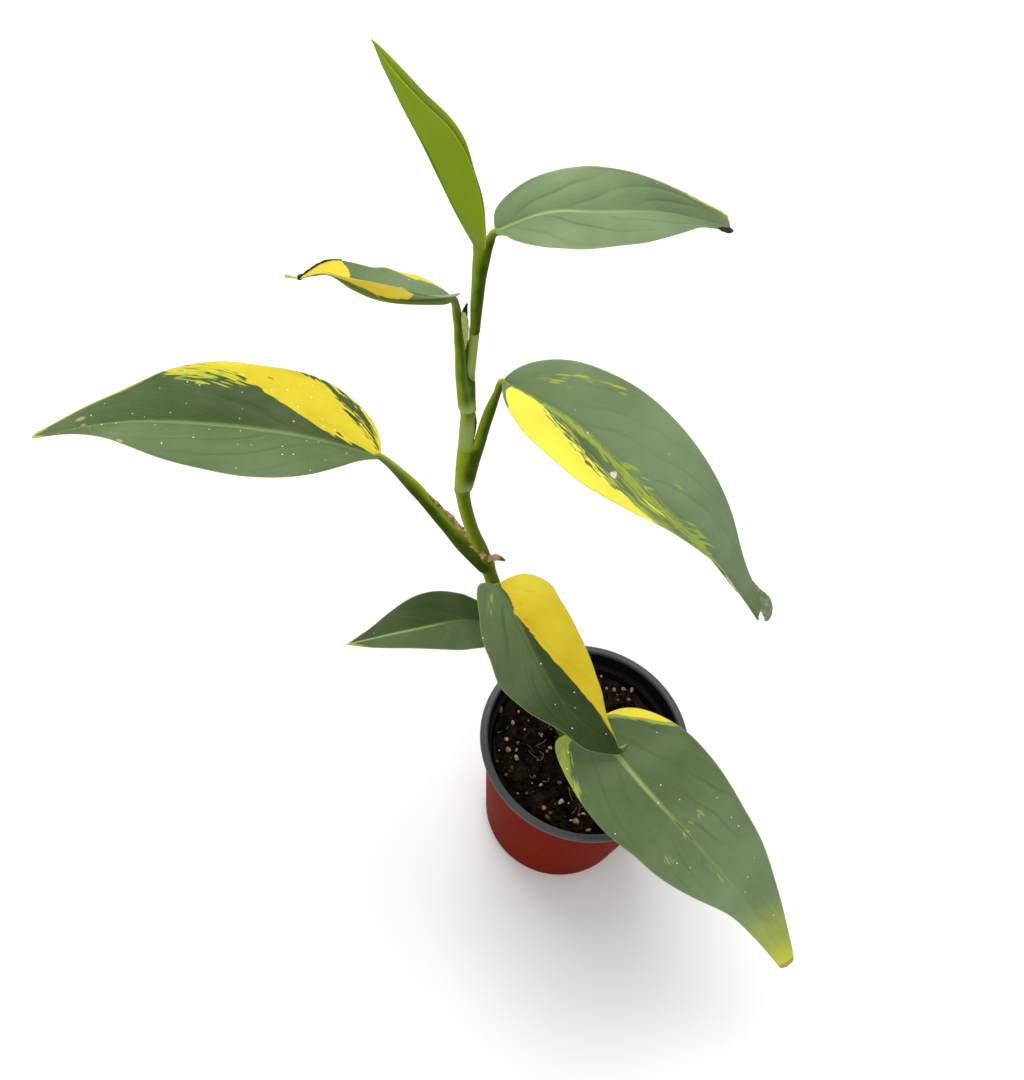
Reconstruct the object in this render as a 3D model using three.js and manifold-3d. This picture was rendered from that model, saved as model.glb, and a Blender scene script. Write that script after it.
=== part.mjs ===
// A potted, variegated climbing aroid with leathery lance-shaped leaves, in a small nursery pot.
// Millimetres, +Z up. The origin is the centre of the pot's flat base, and the camera side is -Y.
import * as THREE from "three";
import { mergeVertices } from "three/addons/utils/BufferGeometryUtils.js";
import Module from "manifold-3d";

const wasm = await Module();
wasm.setup();

// Driving dimensions. The pot is the 4.25 inch size: 106 mm across its rolled rim, 95 mm tall.
const pot = {
  height: 95,
  rimRadius: 53.2,
  mouthRadius: 50.4,
  lipInside: 49.6, // radius of the rim's inner edge
  baseRadius: 38.5,
  wall: 1.3,
  floor: 1.6,
  footRound: 1.5,
  footRise: 2,
  lipHeight: 3,
  lipRound: 0.6,
  rimRound: 1.2,
  ledgeDrop: 11,
  ledgeWidth: 1.6,
  ledgeStep: 0.8, // how far the wall widens above the ledge
  drainCount: 8,
  drainRadius: 4,
  drainCircle: 27,
  drainLength: 12,
  drainSides: 8,
  sides: 40,
};
const soil = {
  top: 80,
  relief: 0.9,
  sides: 32,
  rings: [1, 0.86, 0.72, 0.58, 0.44, 0.3, 0.16], // shares of the top's radius
  grains: 26,
  grainSize: [0.9, 2.1],
  grainLift: 0.3, // share of a grain's size that its middle lies above the bed
  grainMargin: 5,
};
const seat = 0.3; // the gap between pieces that touch
const blade = {
  thickness: 0.9,
  rows: 15,
  columns: 8,
  crowding: 1.6, // power that brings the rows closer together towards the base
  lobeSpan: 0.16, // how far along the blade its base lobes reach
  ribPlaces: [0.04, 0.2, 0.38, 0.56, 0.74, 0.9], // the raised midrib under the blade
  ribRadius: [1.3, 1.1, 0.95, 0.8, 0.65, 0.5],
  ribDepth: 0.9, // how far under the upper face its middle runs, in blade thicknesses
  stalkSteps: 22,
  stalkSides: 9,
};

// The stem's centre line from inside the soil to its tip, with its radius at each point.
const stem = {
  path: [
    [-2, 4, 45], [-8, 5, 80], [-29, 11, 112], [-52, 19, 152], [-68, 23, 190], [-73, 24, 203],
    [-80, 25, 218], [-86, 28, 233], [-89, 31, 246], [-91, 37, 265], [-93, 39, 284],
    [-95.5, 42, 304], [-96.5, 44, 325], [-97.5, 45, 331],
  ],
  radius: [3.4, 3.5, 3.5, 3.5, 3.2, 3.0, 2.9, 3.0, 3.1, 3.3, 2.9, 2.4, 2.0, 1.5],
  nodes: [[-18, 8, 95], [-33, 13, 118], [-45, 16, 140], [-69, 23, 194], [-88, 30, 240], [-93, 39, 284]],
  nodeSwell: 0.35,
  nodeLength: 3,
  steps: 46,
  sides: 10,
};
const aerialRoot = {
  path: [[-70, 23, 201], [-67, 23.5, 202.5], [-65, 24, 202], [-62.5, 24.5, 200.5]],
  radius: [1.7, 1.5, 1.3, 0.5],
  steps: 5,
  sides: 6,
};
const innerStalk = { steps: 8, sides: 10 }; // the room left for the newest stalk in the sheath round it

// Leaves from the lowest to the newest. petiole: its centre line from the node to the blade;
// sheath: its radius at those points. midrib: the blade's centre line on its upper face.
// face: which way the upper face looks at the base, the middle and the tip.
// half: widest half-widths, left and right of the midrib. shape: exponents [base, tip] of each
// half's outline. trim: what the left and the right half are wider or narrower than that, at nine
// equal steps. lobe: how far each half runs back past the petiole. fold: the angle in degrees
// at which the halves rise from the midrib, at base, middle and tip. rim: the same at the edge.
const leaves = [
  {
    petiole: [[-18, 8, 95], [-10, -2, 115], [-5, -12, 135], [-4, -18, 149]],
    sheath: [4.3, 2.8, 2.4, 1.5],
    midrib: [[-4, -18, 150], [24, -43, 154], [56, -54, 132], [90, -63, 100], [122, -77, 68]],
    face: [[0.1, -0.2, 1], [0.3, -0.65, 0.75], [0.3, -0.75, 0.6]],
    half: [32, 28], shape: [[0.32, 0.82], [0.36, 1.15]],
    trim: [[0, 0, 0, 0, -0.5, 0, -1, 0, 3.5], [0, 0.5, -0.5, -1.5, 0.5, 0, -2, 0, 3]],
    lobe: [-0.5, 7.5], fold: [12, 10, 14], rim: [2, -4, 6],
  },
  {
    petiole: [[-33, 13, 118], [-42, 5, 136], [-55, 5, 156], [-62, 8, 171]],
    sheath: [4.3, 2.6, 2.2, 1.4],
    midrib: [[-63, 8, 172], [-76, 4, 172], [-91, 0, 164], [-107, -2, 151], [-125, -4, 135]],
    face: [[0, 0.1, 1], [-0.35, -0.4, 0.85], [-0.6, -0.1, 0.75]],
    half: [14.5, 16], shape: [[0.25, 1.0], [0.62, 0.92]],
    trim: [[0, 0.5, 0, -1, -1.5, -1, 0, 0.5, 0], [0, 1, -0.5, 0, 0.5, 0.5, 0, -1, 0]],
    lobe: [5, 3.5], fold: [4, 4, 4], rim: [-4, -6, -4],
  },
  {
    petiole: [[-45, 16, 140], [-40, 8, 158], [-43, 0, 178], [-53, 0, 196], [-62, 7, 206]],
    sheath: [4.3, 2.7, 2.4, 2.0, 1.4],
    midrib: [[-63, 8, 207], [-50, -7, 206], [-35, -20, 195], [-15, -29, 176], [12, -31, 158]],
    face: [[0.05, -0.1, 1], [0.1, -0.75, 0.65], [0.35, -0.7, 0.6]],
    half: [23.5, 18.5], shape: [[0.48, 0.9], [0.6, 0.95]],
    trim: [[0, 1, -2, -1.5, 0, 1, 2, -0.5, -2], [0, 0.5, 0.5, 0, 2, 0, -2.5, 2, 2.5]],
    lobe: [2.5, 6], fold: [12, 14, 20], rim: [2, 0, 16],
  },
  {
    petiole: [[-69, 23, 194], [-81, 25, 203], [-93, 29, 212], [-108, 34, 223], [-125, 38, 234]],
    sheath: [4.4, 3.9, 3.4, 3.0, 1.5],
    midrib: [[-126, 38, 235], [-159, 26, 252], [-195, 18, 255], [-234, 15, 243], [-275, 12, 218]],
    face: [[0.1, 0.15, 0.95], [-0.05, -0.3, 0.95], [-0.5, 0.1, 0.85]],
    half: [26.5, 28.5], shape: [[0.85, 1.45], [0.5, 1.05]],
    trim: [[0, -3, 0.5, 0, -1, 0, 0, 0, 2.5], [0, 0.5, -1, -1.5, 0.5, 0.5, -1.5, 0, 1]],
    lobe: [-2.5, 2], fold: [30, 30, 34], rim: [12, 10, 22],
  },
  {
    petiole: [[-88, 30, 240], [-86, 36, 260], [-85, 43, 276], [-83, 48, 290], [-82, 49, 294]],
    sheath: [4.1, 2.9, 2.7, 1.7, 1.3],
    midrib: [[-82, 49, 295], [-52, 31, 305], [-21, 23, 290], [17, 20, 258], [52, 21, 214]],
    face: [[-0.4, -0.2, 0.9], [0.5, -0.25, 0.8], [0.7, 0.3, 0.6]],
    half: [28.5, 22], shape: [[0.68, 0.85], [0.85, 1.8]],
    trim: [[0, 0, -1, -0.5, 0, 0, -0.5, -1, 5.5], [0, -2, 0, 2, -0.5, -2.5, -1.5, -2.5, 2.5]],
    lobe: [1, 0], fold: [27, 31, 41], rim: [11, 11, 31],
  },
  {
    petiole: [[-93, 39, 284], [-97, 40, 300], [-100, 40, 320], [-103, 39, 336], [-106, 39, 347]],
    sheath: [3.9, 3.1, 2.8, 1.9, 1.3],
    midrib: [
      [-107, 39, 348], [-125.2, 31.7, 348.5], [-138.2, 30.7, 348.5], [-153.2, 35.7, 347.4], [-166, 40, 334],
    ],
    face: [[0.78, 0.52, 0.35], [0.48, 0.53, 0.7], [-0.74, -0.06, 0.67]],
    half: [20.7, 15.4], shape: [[0.05, 1.71], [0.65, 0.92]],
    trim: [[0, 0], [0, -0.5, -1, -1, -1, -2, -3, -1, 0]],
    lobe: [0.2, -0.5], fold: [35, 39, 5], rim: [18, 33, -19],
  },
  {
    petiole: [[-96.5, 44, 325], [-98.5, 47, 343], [-99, 50, 356], [-98, 53, 366], [-97, 54, 371]],
    sheath: [3.0, 2.8, 2.7, 1.8, 1.4],
    midrib: [[-97, 54, 372], [-80, 54, 388], [-62, 59, 390], [-39, 77, 380], [-11, 104, 355]],
    face: [[-0.6, -0.1, 0.75], [0.25, -0.15, 0.95], [0.55, 0.2, 0.8]],
    half: [16.5, 19.3], shape: [[0.43, 0.7], [0.65, 1.0]],
    trim: [[0, 0.5, -1, -0.5, 0.5, 0.5, -0.5, -0.5, 2.5], [0, -1.5, 2, 0.5, -2, -0.5, 0, -1.5, 3.5]],
    lobe: [3, -3], fold: [26, 24, 34], rim: [12, 6, 24],
  },
  {
    petiole: [[-98, 46, 333], [-99.5, 48, 343], [-101, 50, 356], [-102, 51, 364]],
    sheath: [1.2, 1.4, 1.5, 1.4],
    midrib: [[-102, 51, 365], [-112, 44, 390], [-123, 43, 412], [-134, 42, 432], [-146, 46, 450]],
    face: [[0.85, -0.2, 0.3], [0.87, 0.18, 0.47], [0.8, -0.2, 0.57]],
    half: [13, 13], shape: [[0.78, 1.1], [0.76, 0.9]],
    trim: [[0, 0, 0, 0, 0, 0.5, 0, -0.5, 0], [0, 0, 0, -0.5, 0.5, 0.5, -0.5, -0.5, 0]],
    lobe: [4, 2.5], fold: [72, 78, 72], rim: [84, 88, 80],
  },
];

const colours = {
  pot: new THREE.MeshStandardMaterial({ color: 0x93382a, roughness: 0.35, metalness: 0 }),
  soil: new THREE.MeshStandardMaterial({ color: 0x1d1611, roughness: 0.95, metalness: 0 }),
  stem: new THREE.MeshStandardMaterial({ color: 0x6b8a2a, roughness: 0.5, metalness: 0 }),
  leaf: new THREE.MeshStandardMaterial({ color: 0x55733f, roughness: 0.55, metalness: 0 }),
  newLeaf: new THREE.MeshStandardMaterial({ color: 0x7f9d33, roughness: 0.5, metalness: 0 }),
};

const vector = (point) => new THREE.Vector3(...point);
const radians = THREE.MathUtils.degToRad;
const lerp = THREE.MathUtils.lerp;

// A smooth line through points, with equal parameter steps between them.
function lineThrough(points) {
  return new THREE.CatmullRomCurve3(points.map(vector), false, "catmullrom", 0.5);
}

// Values given at equal steps along 0..1, eased from one to the next.
function along(values, t) {
  const place = Math.min(Math.max(t, 0), 1) * (values.length - 1);
  const step = Math.min(Math.floor(place), values.length - 2);
  const share = THREE.MathUtils.smoothstep(place - step, 0, 1);
  return [values[step], values[step + 1], share];
}

function numberAlong(values, t) {
  return lerp(...along(values, t));
}

function vectorAlong(values, t) {
  const [from, to, share] = along(values, t);
  return vector(from).lerp(vector(to), share);
}

// Solids from triangles, and back.
function geometryFrom(positions, indices) {
  const geometry = new THREE.BufferGeometry();
  geometry.setAttribute("position", new THREE.Float32BufferAttribute(positions, 3));
  geometry.setIndex(indices);
  geometry.computeVertexNormals();
  return geometry;
}

function solidFrom(geometry) {
  const bare = geometry.clone();
  bare.deleteAttribute("normal");
  bare.deleteAttribute("uv");
  const merged = mergeVertices(bare);
  const places = merged.attributes.position.array;
  const order = merged.index ?? new THREE.Uint32BufferAttribute([...places.keys()], 1);
  return new wasm.Manifold(new wasm.Mesh({
    numProp: 3,
    vertProperties: new Float32Array(places),
    triVerts: new Uint32Array(order.array),
  }));
}

function geometryOf(solid) {
  const mesh = solid.getMesh();
  return geometryFrom(Array.from(mesh.vertProperties), Array.from(mesh.triVerts));
}

// A closed solid through rings of equal point counts, with a fan over each end.
function loft(rings) {
  const sides = rings[0].length;
  const positions = rings.flat().flatMap((point) => point.toArray());
  const indices = [];
  for (let ring = 0; ring + 1 < rings.length; ring += 1) {
    for (let side = 0; side < sides; side += 1) {
      const next = (side + 1) % sides;
      const [a, b] = [ring * sides + side, ring * sides + next];
      indices.push(a, b, b + sides, a, b + sides, a + sides);
    }
  }
  for (const [ring, reversed] of [[0, true], [rings.length - 1, false]]) {
    const centre = new THREE.Vector3();
    rings[ring].forEach((point) => centre.addScaledVector(point, 1 / sides));
    const hub = positions.length / 3;
    positions.push(...centre.toArray());
    for (let side = 0; side < sides; side += 1) {
      const [a, b] = [ring * sides + side, ring * sides + (side + 1) % sides];
      indices.push(hub, ...(reversed ? [b, a] : [a, b]));
    }
  }
  return geometryFrom(positions, indices);
}

// A turned solid: one ring for each [radius, height].
function turned(profile, sides) {
  return loft(profile.map(([radius, height]) => Array.from({ length: sides }, (_, side) => {
    const angle = (side / sides) * 2 * Math.PI;
    return new THREE.Vector3(radius * Math.cos(angle), radius * Math.sin(angle), height);
  })));
}

// A round rod along a line: radiusAt gives its radius at each parameter t of the line.
function rod(line, radiusAt, steps, sides, grow = 0) {
  let across = null;
  const rings = Array.from({ length: steps + 1 }, (_, step) => {
    const t = step / steps;
    const centre = line.getPoint(t);
    const forward = line.getTangent(t);
    across ??= new THREE.Vector3(0, 1, 0).cross(forward);
    across.addScaledVector(forward, -across.dot(forward)).normalize();
    const up = forward.clone().cross(across);
    const radius = radiusAt(t, centre) + grow;
    return Array.from({ length: sides }, (_, side) => {
      const angle = (side / sides) * 2 * Math.PI;
      return centre.clone()
        .addScaledVector(across, radius * Math.cos(angle))
        .addScaledVector(up, radius * Math.sin(angle));
    });
  });
  return solidFrom(loft(rings));
}

// The nursery pot: one thin tapered wall with a rolled rim, a stacking ledge and a drained floor.
function makePot() {
  const { height, rimRadius, mouthRadius, baseRadius, wall, footRound, footRise, rimRound } = pot;
  const ledge = height - pot.ledgeDrop;
  const lip = height - pot.lipHeight;
  const wallRadius = (z) => lerp(baseRadius, mouthRadius, z / height);
  const ledgeOuter = wallRadius(ledge) + pot.ledgeStep;
  const ledgeInner = wallRadius(ledge) - wall - pot.ledgeWidth;
  const profile = [
    [baseRadius - footRound, 0],
    [baseRadius, footRise],
    [wallRadius(ledge), ledge],
    [ledgeOuter, ledge + 1.5],
    [mouthRadius + pot.ledgeStep, lip],
    [rimRadius - pot.lipRound, lip],
    [rimRadius, lip + pot.lipRound],
    [rimRadius, height - footRise],
    [rimRadius - rimRound, height],
    [pot.lipInside, height],
    [mouthRadius - wall, height - rimRound],
    [ledgeOuter - wall, ledge + 1.5],
    [ledgeInner, ledge - 0.5],
    [ledgeInner, ledge - 3],
    [baseRadius - wall, footRise + 1],
    [baseRadius - wall - footRise, pot.floor],
  ];
  let solid = solidFrom(turned(profile, pot.sides));
  for (let hole = 0; hole < pot.drainCount; hole += 1) {
    const angle = ((hole + 0.5) / pot.drainCount) * 2 * Math.PI;
    const { drainRadius, drainLength, drainSides } = pot;
    const drain = new THREE.CylinderGeometry(drainRadius, drainRadius, drainLength, drainSides);
    drain.rotateX(Math.PI / 2);
    drain.translate(pot.drainCircle * Math.cos(angle), pot.drainCircle * Math.sin(angle), 0);
    solid = solid.subtract(solidFrom(drain));
  }
  return geometryOf(solid);
}

// The stem, thicker at each node, with the short aerial root that grows from it.
const stemLine = lineThrough(stem.path);

function stemRadius(t, centre) {
  const swell = stem.nodes
    .map((node) => Math.exp(-((centre.distanceTo(vector(node)) / stem.nodeLength) ** 2)))
    .reduce((sum, share) => sum + share, 0);
  return numberAlong(stem.radius, t) + stem.nodeSwell * swell;
}

function makeStem(grow = 0) {
  const shaft = rod(stemLine, stemRadius, stem.steps, stem.sides, grow);
  const rootLine = lineThrough(aerialRoot.path);
  const rootRadius = (t) => numberAlong(aerialRoot.radius, t);
  return shaft.add(rod(rootLine, rootRadius, aerialRoot.steps, aerialRoot.sides, grow));
}

// Potting mix: it fills the pot to just under the ledge, with a lumpy top and a hole for the stem.
function soilHeight(x, y) {
  const lumps = Math.sin(0.21 * x + 1.3) * Math.cos(0.26 * y - 0.4) + 0.5 * Math.sin(0.47 * x - 0.38 * y);
  return soil.top + soil.relief * lumps;
}

// Seeded draw of numbers from 0 to 1.
function drawer(seed) {
  let state = seed;
  return () => {
    state = (state * 1664525 + 1013904223) % 4294967296;
    return state / 4294967296;
  };
}

function makeSoil(stemSpace) {
  const { height, mouthRadius, baseRadius, wall, ledgeDrop, ledgeWidth } = pot;
  const ledge = height - ledgeDrop;
  const wallRadius = (z) => lerp(baseRadius, mouthRadius, z / height) - wall - seat;
  const rim = wallRadius(soil.top) - ledgeWidth - 0.4;
  const profile = [[baseRadius - 5, 2], [baseRadius - 2.2, 4], [rim, ledge - 6]];
  const bed = loft([
    ...profile.map(([radius, z]) => ringAt(radius, () => z)),
    ...soil.rings.map((share) => ringAt(rim * share, soilHeight)),
  ]);
  let solid = solidFrom(bed);
  const draw = drawer(11);
  for (let grain = 0; grain < soil.grains; grain += 1) {
    const reach = (rim - soil.grainMargin) * Math.sqrt(draw());
    const angle = draw() * 2 * Math.PI;
    const [x, y] = [reach * Math.cos(angle), reach * Math.sin(angle)];
    const size = lerp(...soil.grainSize, draw());
    const chip = new THREE.OctahedronGeometry(size, 0);
    chip.rotateX(draw() * Math.PI);
    chip.translate(x, y, soilHeight(x, y) + size * soil.grainLift);
    solid = solid.add(solidFrom(chip));
  }
  return geometryOf(solid.subtract(stemSpace));
}

function ringAt(radius, heightAt) {
  return Array.from({ length: soil.sides }, (_, side) => {
    const angle = (side / soil.sides) * 2 * Math.PI;
    const [x, y] = [radius * Math.cos(angle), radius * Math.sin(angle)];
    return new THREE.Vector3(x, y, heightAt(x, y));
  });
}

// Half-width of a blade at t: its widest times (t/w)^p ((1-t)/(1-w))^q, where w = p/(p+q), and the
// trim of that half, which runs smoothly through its steps. It stays above 0.02 of the widest.
function halfWidth(leaf, hand, t) {
  const [p, q] = leaf.shape[hand];
  const widest = p / (p + q);
  const share = (t / widest) ** p * ((1 - t) / (1 - widest)) ** q;
  const trim = lineThrough(leaf.trim[hand].map((value) => [value, 0, 0])).getPoint(t).x;
  return Math.max(leaf.half[hand] * share + trim, 0.02 * leaf.half[hand]);
}

// The frame of a blade at t: centre, forward along the midrib, up from its face, and to its right.
function bladeFrame(leaf, line, t) {
  const centre = line.getPoint(t);
  const forward = line.getTangent(t);
  const up = vectorAlong(leaf.face, t);
  up.addScaledVector(forward, -up.dot(forward)).normalize();
  return { centre, forward, up, right: forward.clone().cross(up) };
}

// A point of the upper face, and the direction straight out of it. side runs from -1 to 1. Each
// half is an arc across the blade: its slope goes evenly from the fold angle to the rim angle.
function bladePoint(leaf, line, t, side) {
  const { centre, forward, up, right } = bladeFrame(leaf, line, t);
  const hand = side < 0 ? 0 : 1;
  const reach = Math.abs(side);
  const width = halfWidth(leaf, hand, t);
  const fold = radians(numberAlong(leaf.fold, t));
  const turn = radians(numberAlong(leaf.rim, t)) - fold || 1e-4;
  const across = (width * (Math.sin(fold + turn * reach) - Math.sin(fold))) / turn;
  const rise = (-width * (Math.cos(fold + turn * reach) - Math.cos(fold))) / turn;
  const start = Math.min(t / blade.lobeSpan, 1);
  const bulge = 6.75 * start * (1 - start) ** 2; // rises to 1 a third of the way, and ends at 0
  const back = leaf.lobe[hand] * bulge * reach ** 1.5;
  const point = centre
    .addScaledVector(right, Math.sign(side) * across)
    .addScaledVector(up, rise)
    .addScaledVector(forward, -back);
  const slope = fold + turn * reach;
  const out = up.clone().multiplyScalar(Math.cos(slope))
    .addScaledVector(right, -Math.sign(side) * Math.sin(slope));
  return { point, out };
}

// A blade: an upper and a lower grid split into triangles alike, and a narrow wall round the edge.
function makeBlade(leaf) {
  const line = lineThrough(leaf.midrib);
  const width = blade.columns + 1;
  const upper = [];
  const lower = [];
  for (let row = 0; row <= blade.rows; row += 1) {
    const t = (row / blade.rows) ** blade.crowding;
    for (let column = 0; column < width; column += 1) {
      const { point, out } = bladePoint(leaf, line, t, (2 * column) / blade.columns - 1);
      upper.push(point);
      lower.push(point.clone().addScaledVector(out, -blade.thickness));
    }
  }
  const below = upper.length;
  const indices = [];
  const wallBetween = (a, b) => indices.push(b, b + below, a + below, b, a + below, a);
  for (let row = 0; row < blade.rows; row += 1) {
    for (let column = 0; column < blade.columns; column += 1) {
      const a = row * width + column;
      const [b, c, d] = [a + width, a + width + 1, a + 1];
      indices.push(a, d, c, a, c, b);
      indices.push(a + below, c + below, d + below, a + below, b + below, c + below);
    }
    wallBetween(row * width, (row + 1) * width);
    wallBetween((row + 1) * width + blade.columns, row * width + blade.columns);
  }
  for (let column = 0; column < blade.columns; column += 1) {
    wallBetween(column + 1, column);
    wallBetween(blade.rows * width + column, blade.rows * width + column + 1);
  }
  return solidFrom(geometryFrom([...upper, ...lower].flatMap((point) => point.toArray()), indices));
}

// A petiole with its sheath, carried on as the raised midrib under the blade.
function makeStalk(leaf) {
  const line = lineThrough(leaf.midrib);
  const under = blade.ribPlaces.map((t) => {
    const { centre, up } = bladeFrame(leaf, line, t);
    return centre.addScaledVector(up, -blade.ribDepth * blade.thickness).toArray();
  });
  const path = lineThrough([...leaf.petiole, ...under]);
  const radiusAt = (t) => numberAlong([...leaf.sheath, ...blade.ribRadius], t);
  return rod(path, radiusAt, blade.stalkSteps, blade.stalkSides);
}

function makeLeaf(leaf, spaces) {
  let solid = makeStalk(leaf).add(makeBlade(leaf));
  for (const space of spaces) {
    solid = solid.subtract(space);
  }
  return geometryOf(largestOf(solid));
}

// Where a sheath is cut thin round the stem, only its main body is kept.
function largestOf(solid) {
  const bodies = solid.decompose().sort((one, other) => other.volume() - one.volume());
  return bodies[0];
}

// The whole plant, standing in its pot. The newest leaf comes up inside the sheath of the one before.
const stemSpace = makeStem(seat);
const newest = leaves.at(-1);
const innerRadius = (t) => numberAlong(newest.sheath, t);
const innerLine = lineThrough(newest.petiole);
const innerSpace = rod(innerLine, innerRadius, innerStalk.steps, innerStalk.sides, seat);
const model = new THREE.Group();

function place(name, geometry, material) {
  const mesh = new THREE.Mesh(geometry, material);
  mesh.name = name;
  model.add(mesh);
}

place("pot", makePot(), colours.pot);
place("soil", makeSoil(stemSpace), colours.soil);
place("stem", geometryOf(makeStem()), colours.stem);
leaves.forEach((leaf, index) => {
  const spaces = leaf === newest ? [stemSpace] : [stemSpace, innerSpace];
  const material = leaf === newest ? colours.newLeaf : colours.leaf;
  place(`leaf_${index + 1}`, makeLeaf(leaf, spaces), material);
});

export default model;
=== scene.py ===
# A potted, variegated climbing aroid: the looks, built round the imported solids.
# Shapes are worked out in millimetres and become metres when a mesh is made.
import math

import bmesh
import bpy
import numpy as np
from mathutils import Matrix, Vector


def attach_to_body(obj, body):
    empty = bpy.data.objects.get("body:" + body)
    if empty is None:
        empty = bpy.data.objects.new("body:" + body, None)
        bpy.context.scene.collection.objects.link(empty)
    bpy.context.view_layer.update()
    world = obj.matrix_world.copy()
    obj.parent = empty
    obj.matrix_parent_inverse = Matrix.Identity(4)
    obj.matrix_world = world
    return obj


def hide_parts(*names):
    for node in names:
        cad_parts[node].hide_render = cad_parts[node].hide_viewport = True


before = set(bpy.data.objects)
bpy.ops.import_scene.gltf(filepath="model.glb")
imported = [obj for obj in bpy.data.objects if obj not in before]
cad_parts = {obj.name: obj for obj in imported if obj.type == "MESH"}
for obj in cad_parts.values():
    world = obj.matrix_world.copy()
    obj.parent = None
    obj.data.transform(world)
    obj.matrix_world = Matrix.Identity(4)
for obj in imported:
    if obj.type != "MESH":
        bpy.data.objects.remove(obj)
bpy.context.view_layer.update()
millimetre = 0.001
print("stage: frame loaded")


def unit(vectors):
    # each vector divided by its own length
    return vectors / np.maximum(np.linalg.norm(vectors, axis=-1, keepdims=True), 1e-9)


def lineThrough(points, t):
    # cubic spans at equal steps of t; the slope at a point is half the step between its neighbours
    given = np.asarray(points, float)
    spans = len(given) - 1
    padded = np.vstack([2 * given[0] - given[1], given, 2 * given[-1] - given[-2]])
    place = np.clip(t, 0, 1) * spans
    span = np.minimum(place.astype(int), spans - 1)
    x = (place - span)[..., None]
    before, start, end, after = (padded[span + k] for k in range(4))
    leave, arrive = (end - before) / 2, (after - start) / 2
    cubic = 2 * start - 2 * end + leave + arrive
    square = 3 * end - 3 * start - 2 * leave - arrive
    return cubic * x**3 + square * x**2 + leave * x + start


def directionAlong(points, t):
    # difference of the line a little after and a little before t
    small = 1e-3
    onward, back = np.minimum(t + small, 1), np.maximum(t - small, 0)
    return unit(lineThrough(points, onward) - lineThrough(points, back))


def easedAlong(values, t):
    # values at equal steps of t, joined by 3x^2 - 2x^3
    given = np.asarray(values, float)
    place = np.clip(t, 0, 1) * (len(given) - 1)
    step = np.minimum(place.astype(int), len(given) - 2)
    x = place - step
    x = x * x * (3 - 2 * x)
    if given.ndim == 2:
        x = x[..., None]
    return given[step] * (1 - x) + given[step + 1] * x


def smoothStep(low, high, x):
    # 0 below low, 1 above high, 3x^2 - 2x^3 between
    share = np.clip((x - low) / (high - low), 0, 1)
    return share * share * (3 - 2 * share)


def ripples(points, size, seed, count=18):
    # sum of sine waves in drawn directions, wave lengths from 0.6 to 1.7 times size; about -1 to 1
    draw = np.random.default_rng(seed)
    total = np.zeros(points.shape[:-1])
    for _ in range(count):
        heading = unit(draw.normal(size=points.shape[-1]))
        waveLength = size * draw.uniform(0.6, 1.7)
        total += np.sin(points @ heading * 2 * math.pi / waveLength + draw.uniform(0, 2 * math.pi))
    return total / math.sqrt(count)


def meshPiece(name, points, faces, materials, attributes=None):
    # points in millimetres; attributes: vectors at the points, which the materials read
    mesh = bpy.data.meshes.new(name)
    mesh.from_pydata((points.reshape(-1, 3) * millimetre).tolist(), [], faces)
    for label, values in (attributes or {}).items():
        layer = mesh.attributes.new(label, "FLOAT_VECTOR", "POINT")
        layer.data.foreach_set("vector", values.reshape(-1).astype(np.float32))
    for material in materials:
        mesh.materials.append(material)
    mesh.polygons.foreach_set("use_smooth", np.ones(len(mesh.polygons), bool))
    mesh.update()
    piece = bpy.data.objects.new(name, mesh)
    bpy.context.scene.collection.objects.link(piece)
    return piece


def ringFaces(rows, columns):
    # quads of a grid whose columns close into rings, and a fan over each end round two last points
    row, column = np.meshgrid(np.arange(rows - 1), np.arange(columns), indexing="ij")
    nextColumn = (column + 1) % columns
    quads = np.stack([row * columns + column, row * columns + nextColumn,
                      (row + 1) * columns + nextColumn, (row + 1) * columns + column], -1).reshape(-1, 4)
    around = np.arange(columns)
    onward = (around + 1) % columns
    first, last = rows * columns, rows * columns + 1
    base = (rows - 1) * columns
    startFan = np.stack([np.full(columns, first), onward, around], -1)
    endFan = np.stack([np.full(columns, last), base + around, base + onward], -1)
    return quads.tolist() + startFan.tolist() + endFan.tolist()


def capped(values):
    # a grid's values, with the mean of its first row and of its last row added for the fans
    flat = values.reshape(-1, values.shape[-1])
    return np.vstack([flat, values[0].mean(0), values[-1].mean(0)])


def ringPiece(name, grid, materials, attributes=None):
    # a closed skin over a grid of rings
    faces = ringFaces(*grid.shape[:2])
    extra = {label: capped(values) for label, values in (attributes or {}).items()}
    return meshPiece(name, capped(grid), faces, materials, extra)


def tubeGrid(centre, radius, sides, facing, profile=None, flat=1.0):
    # rings round a line; the first point of each ring looks towards facing, made square to the line;
    # flat is how deep the ring is that way, as a share of its reach to the sides
    forward = unit(np.gradient(centre, axis=0))
    facing = np.broadcast_to(facing, centre.shape)
    front = unit(facing - (facing * forward).sum(-1, keepdims=True) * forward)
    side = np.cross(forward, front)
    angle = np.arange(sides) / sides * 2 * math.pi
    reach = radius[:, None] * (np.ones(sides) if profile is None else profile)
    deep = np.broadcast_to(flat, radius.shape)[:, None, None]
    return centre[:, None] + reach[..., None] * (
        front[:, None] * np.cos(angle)[:, None] * deep + side[:, None] * np.sin(angle)[:, None])


def joinedRings(name, grids, materials):
    # several closed tubes in one mesh
    points, faces, start = [], [], 0
    for grid in grids:
        block = capped(grid)
        faces += [[corner + start for corner in face] for face in ringFaces(*grid.shape[:2])]
        points.append(block)
        start += len(block)
    return meshPiece(name, np.vstack(points), faces, materials)


def attach(piece, node):
    # every piece rides on the one body and stands for one solid
    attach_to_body(piece, "root")
    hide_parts(node)


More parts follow.
